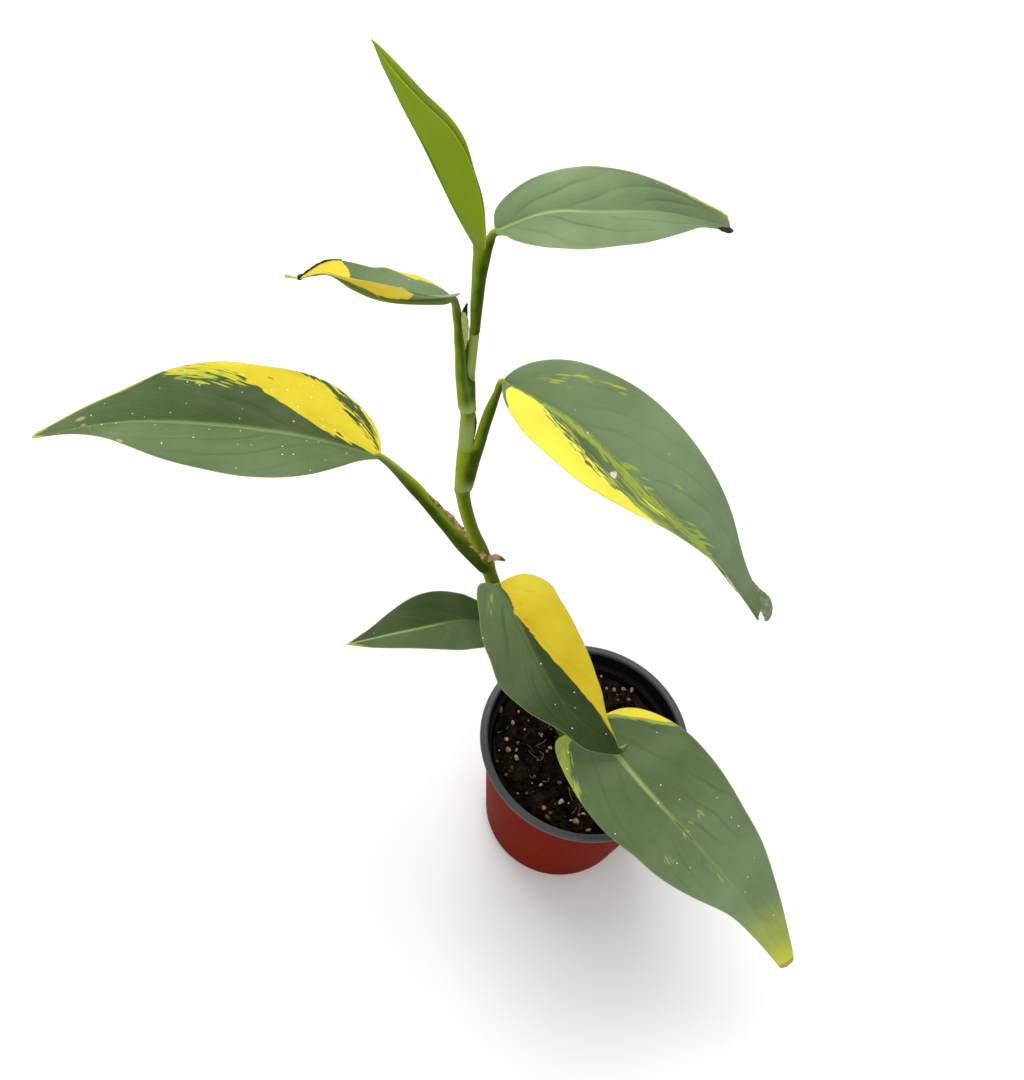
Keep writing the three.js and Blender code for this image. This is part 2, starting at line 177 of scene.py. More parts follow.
def toLinear(code):
    # sRGB hex to linear: below 0.04045 divided by 12.92, above ((c + 0.055) / 1.055)^2.4
    parts = [int(code[i:i + 2], 16) / 255 for i in (1, 3, 5)]
    return tuple(c / 12.92 if c <= 0.04045 else ((c + 0.055) / 1.055) ** 2.4 for c in parts) + (1.0,)


def setInputs(tree, node, inputs):
    # a node given as a value stands for its first output, or a colour mix for its colour; a text is
    # a colour code
    for socket, value in inputs.items():
        if isinstance(value, str):
            value = toLinear(value)
        if isinstance(value, bpy.types.Node):
            value = value.outputs[2 if value.bl_idname == "ShaderNodeMix" else 0]
        if isinstance(value, bpy.types.NodeSocket):
            tree.links.new(value, node.inputs[socket])
        else:
            node.inputs[socket].default_value = value


def addNode(tree, kind, settings=None, inputs=None):
    node = tree.nodes.new("ShaderNode" + kind)
    for label, value in (settings or {}).items():
        setattr(node, label, value)
    setInputs(tree, node, inputs or {})
    return node


def newMaterial(name):
    # the material, its node tree, its shader, already joined to the output, and the place it shades
    material = bpy.data.materials.new(name)
    material.use_nodes = True
    tree = material.node_tree
    tree.nodes.clear()
    surface = addNode(tree, "BsdfPrincipled")
    addNode(tree, "OutputMaterial", None, {"Surface": surface})
    return material, tree, surface, addNode(tree, "TexCoord").outputs["Object"]


# settings that several nodes share
rgba = {"data_type": "RGBA"}
smooth = {"interpolation_type": "SMOOTHSTEP"}
times = {"operation": "MULTIPLY"}
timesPlus = {"operation": "MULTIPLY_ADD"}


# camera: 50 mm lens, 0.85 m from the pot and 58 degrees above the horizon, rolled 17 degrees
cameraView = {
    "place": (-0.06169, -0.32652, 0.77606),
    "right": (0.96547, 0.22044, 0.13882),
    "up": (-0.26050, 0.81698, 0.51448),
    "lens": 50,
    "sensor": 36,
}


def makeCamera(settings):
    data = bpy.data.cameras.new("viewCamera")
    data.lens = settings["lens"]
    data.sensor_width = settings["sensor"]
    data.clip_start = 0.01
    data.clip_end = 50
    camera = bpy.data.objects.new("viewCamera", data)
    right, up = Vector(settings["right"]).normalized(), Vector(settings["up"])
    up = (up - up.dot(right) * right).normalized()
    turn = Matrix((right, up, right.cross(up))).transposed().to_4x4()
    camera.matrix_world = Matrix.Translation(settings["place"]) @ turn
    bpy.context.scene.collection.objects.link(camera)
    bpy.context.scene.camera = camera


makeCamera(cameraView)


# studio: pale floor, white surroundings, one wide soft light above and a weaker one in front;
# floor size, light sizes and aim in metres, floorDrop in millimetres, powers in watts
studio = {
    "floorSize": 6.0, "floorDrop": 0.2, "aim": (-0.05, 0.0, 0.2),
    "floorColour": "#f7f7f6",
    "surroundings": 0.62,
    "lights": [
        {"name": "skyLight", "place": (-0.6, 0.8, 1.9), "size": 1.5, "power": 34},
        {"name": "frontLight", "place": (0.5, -1.5, 1.5), "size": 1.6, "power": 9},
    ],
}


def makeStudio(settings):
    # the floor is matte and nearly white, so that it only takes the soft shadow
    material, tree, surface, _ = newMaterial("matteFloor")
    setInputs(tree, surface, {"Base Color": settings["floorColour"], "Roughness": 0.9})
    half, low = settings["floorSize"] / 2 / millimetre, -settings["floorDrop"]
    corners = np.array([[-half, -half, low], [half, -half, low], [half, half, low], [-half, half, low]])
    floor = meshPiece("studioFloor", corners, [[0, 1, 2, 3]], [material])
    world = bpy.data.worlds.new("studioAir")
    world.use_nodes = True
    world.node_tree.nodes["Background"].inputs["Color"].default_value = (1, 1, 1, 1)
    world.node_tree.nodes["Background"].inputs["Strength"].default_value = settings["surroundings"]
    bpy.context.scene.world = world
    bpy.context.scene.view_settings.view_transform = "Standard"
    for light in settings["lights"]:
        data = bpy.data.lights.new(light["name"], "AREA")
        data.size = light["size"]
        data.energy = light["power"]
        lamp = bpy.data.objects.new(light["name"], data)
        lamp.location = light["place"]
        aim = Vector(settings["aim"]) - Vector(light["place"])
        lamp.rotation_euler = aim.to_track_quat("-Z", "Y").to_euler()
        bpy.context.scene.collection.objects.link(lamp)


makeStudio(studio)
print("stage: camera and studio")


# nursery pot, in millimetres; the rim is a rolled bead from lipInside to rimRadius, lipHeight high;
# plastics of wall, inside and rim: name, main and shade colour, roughness, refractive index; the rim's
# grey, lighter than the black inside, is partly its own dark grey and partly painted sheen
nurseryPot = {
    "height": 95, "rimRadius": 53.2, "mouthRadius": 50.4, "lipInside": 49.6, "baseRadius": 38.5,
    "wall": 1.3, "lipHeight": 3, "ledgeDrop": 11, "ledgeWidth": 1.6,
    "drainCount": 8, "drainRadius": 4, "drainCircle": 27, "sides": 180,
    "plastics": [
        ("terracottaPolypropylene", "#781f0c", "#651507", 0.36, 1.03),
        ("blackPolypropylene", "#0b0b0c", "#17171a", 0.34, 1.2),
        # rim plastic: its grey carries painted sheen
        ("greyRimPaintedSheen", "#515154", "#3c3c40", 0.32, 1.3),
    ],
}


def mouldedPlastic(name, main, shade, roughness, gloss):
    # moulded polypropylene: even colour with slow cloudiness, satin gloss, faint flow lines round the wall
    material, tree, surface, place = newMaterial(name)
    cloud = addNode(tree, "TexNoise", None, {"Vector": place, "Scale": 28.0, "Detail": 3.0})
    colour = addNode(tree, "Mix", rgba, {0: cloud, 6: main, 7: shade})
    # flow lines about 3 mm apart in height, drawn coarser than real so that they show
    stretch = addNode(tree, "Mapping", None, {"Vector": place, "Scale": (18.0, 18.0, 340.0)})
    lines = addNode(tree, "TexNoise", None, {"Vector": stretch, "Scale": 1.0, "Detail": 2.0})
    scuffs = addNode(tree, "TexNoise", None, {"Vector": place, "Scale": 420.0, "Detail": 4.0})
    rough = addNode(tree, "MapRange", None, {
        "Value": scuffs, "From Min": 0.35, "From Max": 0.75, "To Min": roughness,
        "To Max": roughness + 0.14})
    bump = addNode(tree, "Bump", None, {"Height": lines, "Strength": 0.25, "Distance": 0.0004})
    setInputs(tree, surface, {"Base Color": colour, "Roughness": rough, "IOR": gloss, "Normal": bump})
    return material


def potProfile(s):
    # (radius, height) pairs from the foot up the outside, over the rolled rim and down the inside
    ledge = s["height"] - s["ledgeDrop"]
    wall, mouth, rim, top = s["wall"], s["mouthRadius"], s["rimRadius"], s["height"]
    lip, inner = top - s["lipHeight"], s["lipInside"]

    def wallRadius(z):
        return s["baseRadius"] + (mouth - s["baseRadius"]) * z / top

    foot, step = s["baseRadius"], wallRadius(ledge)
    outside = [(foot - 1.5, 0), (foot - 0.9, 0.25), (foot - 0.3, 0.9), (foot, 2)]
    outside += [(wallRadius(z), z) for z in np.linspace(4, ledge - 0.4, 24)]
    outside += [(step + 0.25, ledge + 0.3), (step + 0.65, ledge + 1.0), (step + 0.8, ledge + 1.6),
                (mouth + 0.75, lip - 0.4)]
    lipTurn = [(mouth + 0.8, lip), (rim - 1.1, lip + 0.02), (rim - 0.5, lip + 0.12),
               (rim - 0.15, lip + 0.45), (rim, lip + 0.95), (rim - 0.03, top - 1.5),
               (rim - 0.18, top - 0.9), (rim - 0.5, top - 0.4), (rim - 1.0, top - 0.1),
               (rim - 1.6, top - 0.02), (rim - 1.9, top - 0.12), (rim - 2.2, top - 0.02),
               (rim - 2.7, top), (inner + 0.5, top - 0.02), (inner + 0.15, top - 0.15),
               (inner - 0.1, top - 0.45), (mouth - wall, top - 1.6)]
    within = step - wall
    inside = [(within + 0.8, ledge + 1.9), (within + 0.6, ledge + 1.2), (within - 0.6, ledge + 0.2),
              (within - 1.3, ledge - 0.1), (within - s["ledgeWidth"], ledge - 0.6),
              (within - s["ledgeWidth"], ledge - 3), (wallRadius(40) - wall - 0.4, 40),
              (foot - wall, 3), (foot - wall - 2, 1.6)]
    return outside, lipTurn, inside


def makePot(s):
    # a profile turned round the upright axis
    outside, lipTurn, inside = potProfile(s)
    profile = np.array(outside + lipTurn + inside, float)
    angle = np.arange(s["sides"]) / s["sides"] * 2 * math.pi
    grid = np.stack([profile[:, :1] * np.cos(angle), profile[:, :1] * np.sin(angle),
                     np.repeat(profile[:, 1:], s["sides"], 1)], -1)
    piece = ringPiece("nurseryPot", grid, [mouldedPlastic(*plastic) for plastic in s["plastics"]])
    mesh = piece.data
    count = len(mesh.polygons)
    # red wall and underside, black inside, grey rim whose lighter grey is partly painted sheen
    rimStart = (len(outside) - 1) * s["sides"]
    slots = np.ones(count, int)
    slots[:rimStart] = 0
    slots[rimStart:rimStart + len(lipTurn) * s["sides"]] = 2
    slots[-2 * s["sides"]:-s["sides"]] = 0
    mesh.polygons.foreach_set("material_index", slots)
    # drain holes: upright cylinders on a circle, cut out of the base
    drains = bmesh.new()
    for hole in range(s["drainCount"]):
        turn = (hole + 0.5) / s["drainCount"] * 2 * math.pi
        centre = Vector((math.cos(turn), math.sin(turn), 0)) * s["drainCircle"] * millimetre
        bmesh.ops.create_cone(drains, cap_ends=True, segments=28, radius1=s["drainRadius"] * millimetre,
                              radius2=s["drainRadius"] * millimetre, depth=0.012,
                              matrix=Matrix.Translation(centre))
    cutterMesh = bpy.data.meshes.new("drainCutter")
    drains.to_mesh(cutterMesh)
    drains.free()
    cutter = bpy.data.objects.new("drainCutter", cutterMesh)
    bpy.context.scene.collection.objects.link(cutter)
    cut = piece.modifiers.new("drains", "BOOLEAN")
    cut.operation, cut.solver, cut.object = "DIFFERENCE", "EXACT", cutter
    bpy.context.view_layer.update()
    finished = bpy.data.meshes.new_from_object(piece.evaluated_get(bpy.context.evaluated_depsgraph_get()))
    piece.modifiers.clear()
    piece.data = finished
    bpy.data.objects.remove(cutter)
    attach(piece, "pot")


makePot(nurseryPot)
print("stage: pot")


# potting mix, in millimetres: top and relief as in the solid, lump the finer unevenness
pottingMix = {
    "top": 80, "relief": 0.9, "lump": 1.3, "gap": 0.3, "sides": 260, "rings": 120,
    "bedColours": ("#070605", "#382c20"), "crumbColours": ("#090706", "#2e2216"),
    "crumbs": 1500, "crumbSize": (0.5, 1.9), "crumbMargin": 1.5, "grainMargin": 2.5, "fibreMargin": 6,
    # grains that show: kind, x, y and size in millimetres
    "grains": [
        ("tan", -37, 5, 1.5), ("white", -38, -5, 1.1), ("olive", -32, -5, 2.0), ("tan", -36, -10, 1.6),
        ("tan", -32, -9, 1.3), ("white", -31, -13, 1.7), ("olive", -40, -18, 1.2), ("olive", -32, -19, 1.2),
        ("white", -16, -24, 1.2), ("olive", -7, -20, 1.5), ("white", -4, -30, 2.2), ("tan", -12, -36, 1.4),
        ("bark", -9, -40, 2.4), ("tan", 5, -38, 2.5), ("tan", 6, -34, 1.4), ("white", 8, -33, 1.3),
        ("tan", 12, -41, 1.7), ("tan", 6, 38, 1.3), ("tan", 10, 38, 1.3), ("tan", 15, 40, 1.6),
        ("tan", 19, 41, 1.6), ("bark", 29, 41, 2.3), ("white", 2, 44, 1.1), ("olive", 13, 33, 1.2),
        ("bark", -45, 10, 2.2),
    ],
    "moreGrains": 95,
    "grainColours": {"tan": "#b98f58", "white": "#d9cdb4", "olive": "#6f6a2a", "bark": "#8a5a34"},
    "fibres": 46, "fibreLength": (3, 9), "fibreRadius": (0.1, 0.2), "fibreColour": "#8a7350",
}


def soilHeight(x, y):
    # slow lumps of the bed: product and sum of sine waves, as in the solid
    lumps = np.sin(0.21 * x + 1.3) * np.cos(0.26 * y - 0.4) + 0.5 * np.sin(0.47 * x - 0.38 * y)
    return pottingMix["top"] + pottingMix["relief"] * lumps


def earth(name, dark, brown):
    # peat and fine bark: nearly black when damp, rough, with crumbs under a millimetre
    material, tree, surface, place = newMaterial(name)
    crumbs = addNode(tree, "TexNoise", None, {
        "Vector": place, "Scale": 900.0, "Detail": 6.0, "Roughness": 0.7})
    patches = addNode(tree, "TexNoise", None, {"Vector": place, "Scale": 160.0, "Detail": 3.0})
    share = addNode(tree, "Math", times, {0: crumbs, 1: patches})
    spread = addNode(tree, "MapRange", None, {"Value": share, "From Min": 0.16, "From Max": 0.42})
    colour = addNode(tree, "Mix", rgba, {0: spread, 6: dark, 7: brown})
    bump = addNode(tree, "Bump", None, {"Height": crumbs, "Strength": 0.9, "Distance": 0.001})
    setInputs(tree, surface, {"Base Color": colour, "Roughness": 0.9, "IOR": 1.15, "Normal": bump})
    return material


def stone(name, code):
    # fired clay, pumice and bark chips: matte, with darker pores
    material, tree, surface, place = newMaterial(name)
    pores = addNode(tree, "TexNoise", None, {
        "Vector": place, "Scale": 700.0, "Detail": 5.0, "Roughness": 0.65})
    base = toLinear(code)
    spread = addNode(tree, "MapRange", None, {"Value": pores, "From Min": 0.35, "From Max": 0.62})
    colour = addNode(tree, "Mix", rgba, {
        0: spread, 6: tuple(c * 0.38 for c in base[:3]) + (1.0,), 7: base})
    bump = addNode(tree, "Bump", None, {"Height": pores, "Strength": 0.6, "Distance": 0.0005})
    setInputs(tree, surface, {"Base Color": colour, "Roughness": 0.85, "Normal": bump})
    return material


def lumpShape():
    # a ball of 80 faces
    ball = bmesh.new()
    bmesh.ops.create_icosphere(ball, subdivisions=2, radius=1)
    points = np.array([v.co[:] for v in ball.verts])
    faces = np.array([[v.index for v in f.verts] for f in ball.faces])
    ball.free()
    return points, faces


def scatterLumps(name, places, sizes, seed, materials, kinds=None):
    # one ball for each place, squashed and turned at random, its surface pushed in and out by ripples
    draw = np.random.default_rng(seed)
    ball, ballFaces = lumpShape()
    count = len(places)
    turns = np.linalg.qr(draw.normal(size=(count, 3, 3)))[0]
    turns *= np.sign(np.linalg.det(turns))[:, None, None]
    stretch = draw.uniform(0.6, 1.15, size=(count, 1, 3))
    shift = draw.uniform(0, 40, size=(count, 1, 3))
    rough = 1 + 0.22 * ripples(ball[None] + shift, 1.4, seed + 1, 10)
    points = (ball[None] * stretch * rough[..., None]) @ turns
    points = points * np.asarray(sizes)[:, None, None] + np.asarray(places)[:, None, :]
    faces = (ballFaces[None] + np.arange(count)[:, None, None] * len(ball)).reshape(-1, 3)
    piece = meshPiece(name, points, faces.tolist(), materials)
    if kinds is not None:
        piece.data.polygons.foreach_set("material_index", np.repeat(kinds, len(ballFaces)))
    return piece


def makeSoil(s, pot):
    # rings turned round the upright axis; the top is soilHeight plus fine ripples, with lumps and
    # fibres laid on it
    draw = np.random.default_rng(5)
    ledge = pot["height"] - pot["ledgeDrop"]
    slope = (pot["mouthRadius"] - pot["baseRadius"]) / pot["height"]
    rim = pot["baseRadius"] + slope * s["top"] - pot["wall"] - s["gap"] - pot["ledgeWidth"] - 0.4
    angle = np.arange(s["sides"]) / s["sides"] * 2 * math.pi
    # lower rings as in the solid, then rings of the lumpy top from the wall to the middle
    low = np.array([(pot["baseRadius"] - 5, 2), (pot["baseRadius"] - 2.2, 4), (rim, ledge - 6)])
    lowRings = np.stack([low[:, :1] * np.cos(angle), low[:, :1] * np.sin(angle),
                         np.repeat(low[:, 1:], s["sides"], 1)], -1)
    radius = rim * np.linspace(1, 0.01, s["rings"])[:, None]
    x, y = radius * np.cos(angle), radius * np.sin(angle)
    flat = np.stack([x, y], -1)
    fine = 0.55 * ripples(flat, 5, 21) + 0.4 * ripples(flat, 2.2, 22, 26)
    fine = fine + 0.22 * ripples(flat, 1.1, 23, 30)
    z = soilHeight(x, y) + s["lump"] * (np.abs(fine) - 0.45) * smoothStep(0, 3, rim - radius + 0.5)
    grid = np.concatenate([lowRings, np.stack([x, y, z], -1)])
    soilMaterial = earth("dampPottingMix", *s["bedColours"])
    attach(ringPiece("pottingBed", grid, [soilMaterial]), "soil")

    def scatter(count, margin):
        reach = (rim - margin) * np.sqrt(draw.uniform(0, 1, count))
        turn = draw.uniform(0, 2 * math.pi, count)
        return reach * np.cos(turn), reach * np.sin(turn)

    px, py = scatter(s["crumbs"], s["crumbMargin"])
    small, large = s["crumbSize"]
    sizes = small + (large - small) * draw.uniform(0, 1, s["crumbs"]) ** 3
    places = np.stack([px, py, soilHeight(px, py) + 0.25 * sizes], -1)
    crumbMaterial = earth("barkCrumbs", *s["crumbColours"])
    attach(scatterLumps("pottingCrumbs", places, sizes, 31, [crumbMaterial]), "soil")

    kinds = list(s["grainColours"])
    stones = [stone(kind + "Grain", code) for kind, code in s["grainColours"].items()]
    px, py = scatter(s["moreGrains"], s["grainMargin"])
    shown = np.array([[x0, y0] for _, x0, y0, _ in s["grains"]], float)
    xy = np.vstack([shown, np.stack([px, py], -1)])
    sizes = np.r_[[size * 0.8 for *_, size in s["grains"]],
                  0.35 + 0.9 * draw.uniform(0, 1, s["moreGrains"]) ** 3]
    which = np.r_[[kinds.index(kind) for kind, *_ in s["grains"]],
                  draw.choice(len(kinds), s["moreGrains"], p=[0.3, 0.22, 0.24, 0.24])]
    places = np.column_stack([xy, soilHeight(xy[:, 0], xy[:, 1]) + 0.9 + 0.3 * sizes])
    attach(scatterLumps("pottingGrains", places, sizes, 41, stones, which), "soil")

    # each fibre is an arc that lies on the mix and is lifted in its middle
    fibreMaterial = stone("rootFibre", s["fibreColour"])
    rings = []
    px, py = scatter(s["fibres"], s["fibreMargin"])
    along = np.linspace(0, 1, 14)
    for x0, y0 in zip(px, py):
        heading, bend = draw.uniform(0, 6.28), draw.uniform(-2.2, 2.2)
        length = draw.uniform(*s["fibreLength"])
        turn = heading + bend * along
        step = np.stack([np.cos(turn), np.sin(turn)], -1) * length / 13
        path = np.array([x0, y0]) + np.cumsum(step, 0)
        path *= np.minimum(1, (rim - 1.5) / np.linalg.norm(path, axis=1))[:, None]
        lift = 0.9 + 0.7 * np.sin(along * math.pi) * draw.uniform(0.2, 1)
        centre = np.column_stack([path, soilHeight(path[:, 0], path[:, 1]) + lift])
        radius = np.full(14, draw.uniform(*s["fibreRadius"]))
        rings.append(tubeGrid(centre, radius, 6, np.array([0, 0, 1.0])))
    attach(joinedRings("pottingFibres", rings, [fibreMaterial]), "soil")


makeSoil(pottingMix, nurseryPot)
print("stage: potting mix")


# stem: centre line and radius from inside the soil to the tip, and its nodes; bloom: how grey it is
# at most, bloomZone: heights where that begins, is full and ends, bloomAbove: where it comes back;
# lightFrom: the way of the painted light: the skin is painted paler on the side that looks there and
# darker, as painted shade, on the far side
greenStem = {
    "path": [
        [-2, 4, 45], [-8, 5, 80], [-29, 11, 112], [-52, 19, 152], [-68, 23, 190], [-73, 24, 203],
        [-80, 25, 218], [-86, 28, 233], [-89, 31, 246], [-91, 37, 265], [-93, 39, 284],
        [-95.5, 42, 304], [-96.5, 44, 325], [-97.5, 45, 331],
    ],
    "radius": [3.4, 3.5, 3.5, 3.5, 3.2, 3.0, 2.9, 3.0, 3.1, 3.3, 2.9, 2.4, 2.0, 1.5],
    "nodes": [[-18, 8, 95], [-33, 13, 118], [-45, 16, 140], [-69, 23, 194], [-88, 30, 240], [-93, 39, 284]],
    # at each node a swelling, a thin raised ring and a groove just above it: height, reach, and for
    # the groove how far above; scar: how brown the ring is, and the reach of that
    "swelling": (0.35, 3), "ring": (0.22, 0.5), "groove": (0.15, 0.6, 1.3), "scar": (0.3, 0.45),
    "rows": 520, "sides": 40,
    "rootPath": [[-70, 23, 201], [-67, 23.5, 202.5], [-65, 24, 202], [-62.5, 24.5, 200.5]],
    "rootRadius": [1.7, 1.5, 1.3, 0.5],
    "bloom": 0.7, "bloomZone": [252, 266, 272, 286], "bloomAbove": [298, 306],
    "lightFrom": [-0.97, -0.05, 0.15],
}


def fleshyGreen(name, pale, deep, bloom):
    # a young aroid stem: waxy green skin, painted paler on the side towards its light and darker on the
    # far side as painted light and shade, faint lines lengthways, a grey bloom where it is given
    material, tree, surface, place = newMaterial(name)
    # skin: place on the rolled-out skin; tint: bloom, pale edge, scar; the third attribute: painted light
    # and shade, how much paler the side is painted
    sources = {}
    for label in ("skin", "tint", "paintedLight"):
        sources[label] = addNode(tree, "Attribute", {"attribute_name": label}).outputs["Vector"]
    tint = addNode(tree, "SeparateXYZ", None, {0: sources["tint"]}).outputs
    paintedLight = addNode(tree, "SeparateXYZ", None, {0: sources["paintedLight"]}).outputs["X"]
    cloud = addNode(tree, "TexNoise", None, {"Vector": place, "Scale": 130.0, "Detail": 4.0})
    streak = addNode(tree, "TexNoise", None, {
        "Vector": sources["skin"], "Scale": 1.0, "Detail": 3.0, "Roughness": 0.6})
    mixed = addNode(tree, "Math", {"operation": "ADD"}, {0: streak, 1: cloud})
    uneven = addNode(tree, "MapRange", None, {
        "Value": mixed, "From Min": 0.6, "From Max": 1.4, "To Min": -0.16, "To Max": 0.16})
    # painted light and shade: the side towards the light gets the pale colour, the far side the deep one
    spread = addNode(tree, "Math", {"operation": "ADD", "use_clamp": True}, {0: uneven, 1: paintedLight})
    green = addNode(tree, "Mix", rgba, {0: spread, 6: deep, 7: pale})
    dusty = addNode(tree, "Mix", rgba, {0: tint["X"], 6: green, 7: bloom})
    edged = addNode(tree, "Mix", rgba, {0: tint["Y"], 6: dusty, 7: "#b9c878"})
    scarred = addNode(tree, "Mix", rgba, {0: tint["Z"], 6: edged, 7: "#75602f"})
    bump = addNode(tree, "Bump", None, {"Height": streak, "Strength": 0.3, "Distance": 0.0003})
    setInputs(tree, surface, {"Base Color": scarred, "Roughness": 0.38, "IOR": 1.12, "Normal": bump})
    return material


# colours: pale is painted light, deep is painted shade, with streaks between; then the bloom
stemGreen = fleshyGreen("waxyStem", "#9aa630", "#4f6200", "#93a75c")
stalkGreen = fleshyGreen("fleshyStalk", "#8ba01c", "#314600", "#9fb264")
youngStalk = fleshyGreen("youngStalk", "#93a630", "#6b8214", "#a4b668")


def lengthAlong(line):
    # millimetres from the start of a line to each of its points
    return np.r_[0, np.cumsum(np.linalg.norm(np.diff(line, axis=0), axis=1))]


def skinAttributes(grid, centre, tint, lightFrom):
    # streaks run lengthways: the noise moves fast round the ring and slowly along it. Painted light: the
    # side that looks towards lightFrom is painted paler and the far side darker, as painted shade: the
    # cosine between there and the way out, eased from 0 to 1
    rows, sides = grid.shape[:2]
    angle = np.arange(sides) / sides * 2 * math.pi
    skin = np.stack([np.repeat(lengthAlong(centre)[:, None] * 0.12, sides, 1),
                     np.repeat(2.2 * np.cos(angle)[None], rows, 0),
                     np.repeat(2.2 * np.sin(angle)[None], rows, 0)], -1)
    out = unit(grid - grid.mean(1, keepdims=True))
    paintedLight = smoothStep(-0.45, 1.1, out @ unit(np.array(lightFrom)))
    return {"skin": skin, "tint": tint, "paintedLight": np.stack([paintedLight, 0 * paintedLight, 0 * paintedLight], -1)}


def makeStem(s):
    # a tube round the centre line; its radius changes at each node by bell curves e^-(distance/reach)^2
    t = np.linspace(0, 1, s["rows"])
    centre = lineThrough(s["path"], t)
    length = lengthAlong(centre)
    nearest = np.linalg.norm(centre[:, None] - np.array(s["nodes"], float)[None], axis=-1).argmin(0)
    offset = length[:, None] - length[nearest]

    def bells(height, reach, above=0):
        return height * np.exp(-(((offset - above) / reach) ** 2)).sum(1)

    ring = bells(*s["ring"]) - bells(*s["groove"])
    radius = easedAlong(s["radius"], t) + bells(*s["swelling"]) + ring
    grid = tubeGrid(centre, radius, s["sides"], np.array([0.2, -1.0, 0.3]))
    rows = np.ones((1, s["sides"]))
    height = centre[:, 2]
    low, lowFull, highFull, high = s["bloomZone"]
    bloom = smoothStep(low, lowFull, height) * (1 - smoothStep(highFull, high, height))
    bloom = s["bloom"] * (bloom + smoothStep(*s["bloomAbove"], height))[:, None] * rows
    scar = bells(*s["scar"])[:, None] * rows
    tint = np.stack([bloom, 0 * scar, scar], -1)
    stem = ringPiece("greenStem", grid, [stemGreen], skinAttributes(grid, centre, tint, s["lightFrom"]))
    attach(stem, "stem")

    t = np.linspace(0, 1, 40)
    rootLine = lineThrough(s["rootPath"], t)
    wobble = 1 + 0.1 * ripples(rootLine, 2.2, 9)
    grid = tubeGrid(rootLine, easedAlong(s["rootRadius"], t) * wobble, 24, np.array([0, 0, 1.0]))
    root = ringPiece("aerialRoot", grid, [corkyRoot()])
    attach(root, "stem")
    return centre, radius


def corkyRoot():
    # a young aerial root: pinkish tan cork with a dark grey-green tip
    material, tree, surface, place = newMaterial("corkyRoot")
    cloud = addNode(tree, "TexNoise", None, {"Vector": place, "Scale": 500.0, "Detail": 5.0})
    cork = addNode(tree, "Mix", rgba, {0: cloud, 6: "#c79a80", 7: "#7d5a44"})
    along = addNode(tree, "SeparateXYZ", None, {0: place})
    tip = addNode(tree, "MapRange", None, {
        "Value": along.outputs["X"], "From Min": -0.0655, "From Max": -0.064})
    colour = addNode(tree, "Mix", rgba, {0: tip, 6: cork, 7: "#474b3c"})
    bump = addNode(tree, "Bump", None, {"Height": cloud, "Strength": 0.6, "Distance": 0.0004})
    setInputs(tree, surface, {"Base Color": colour, "Roughness": 0.7, "Normal": bump})
    return material


stemMeasure = makeStem(greenStem)
print("stage: stem")
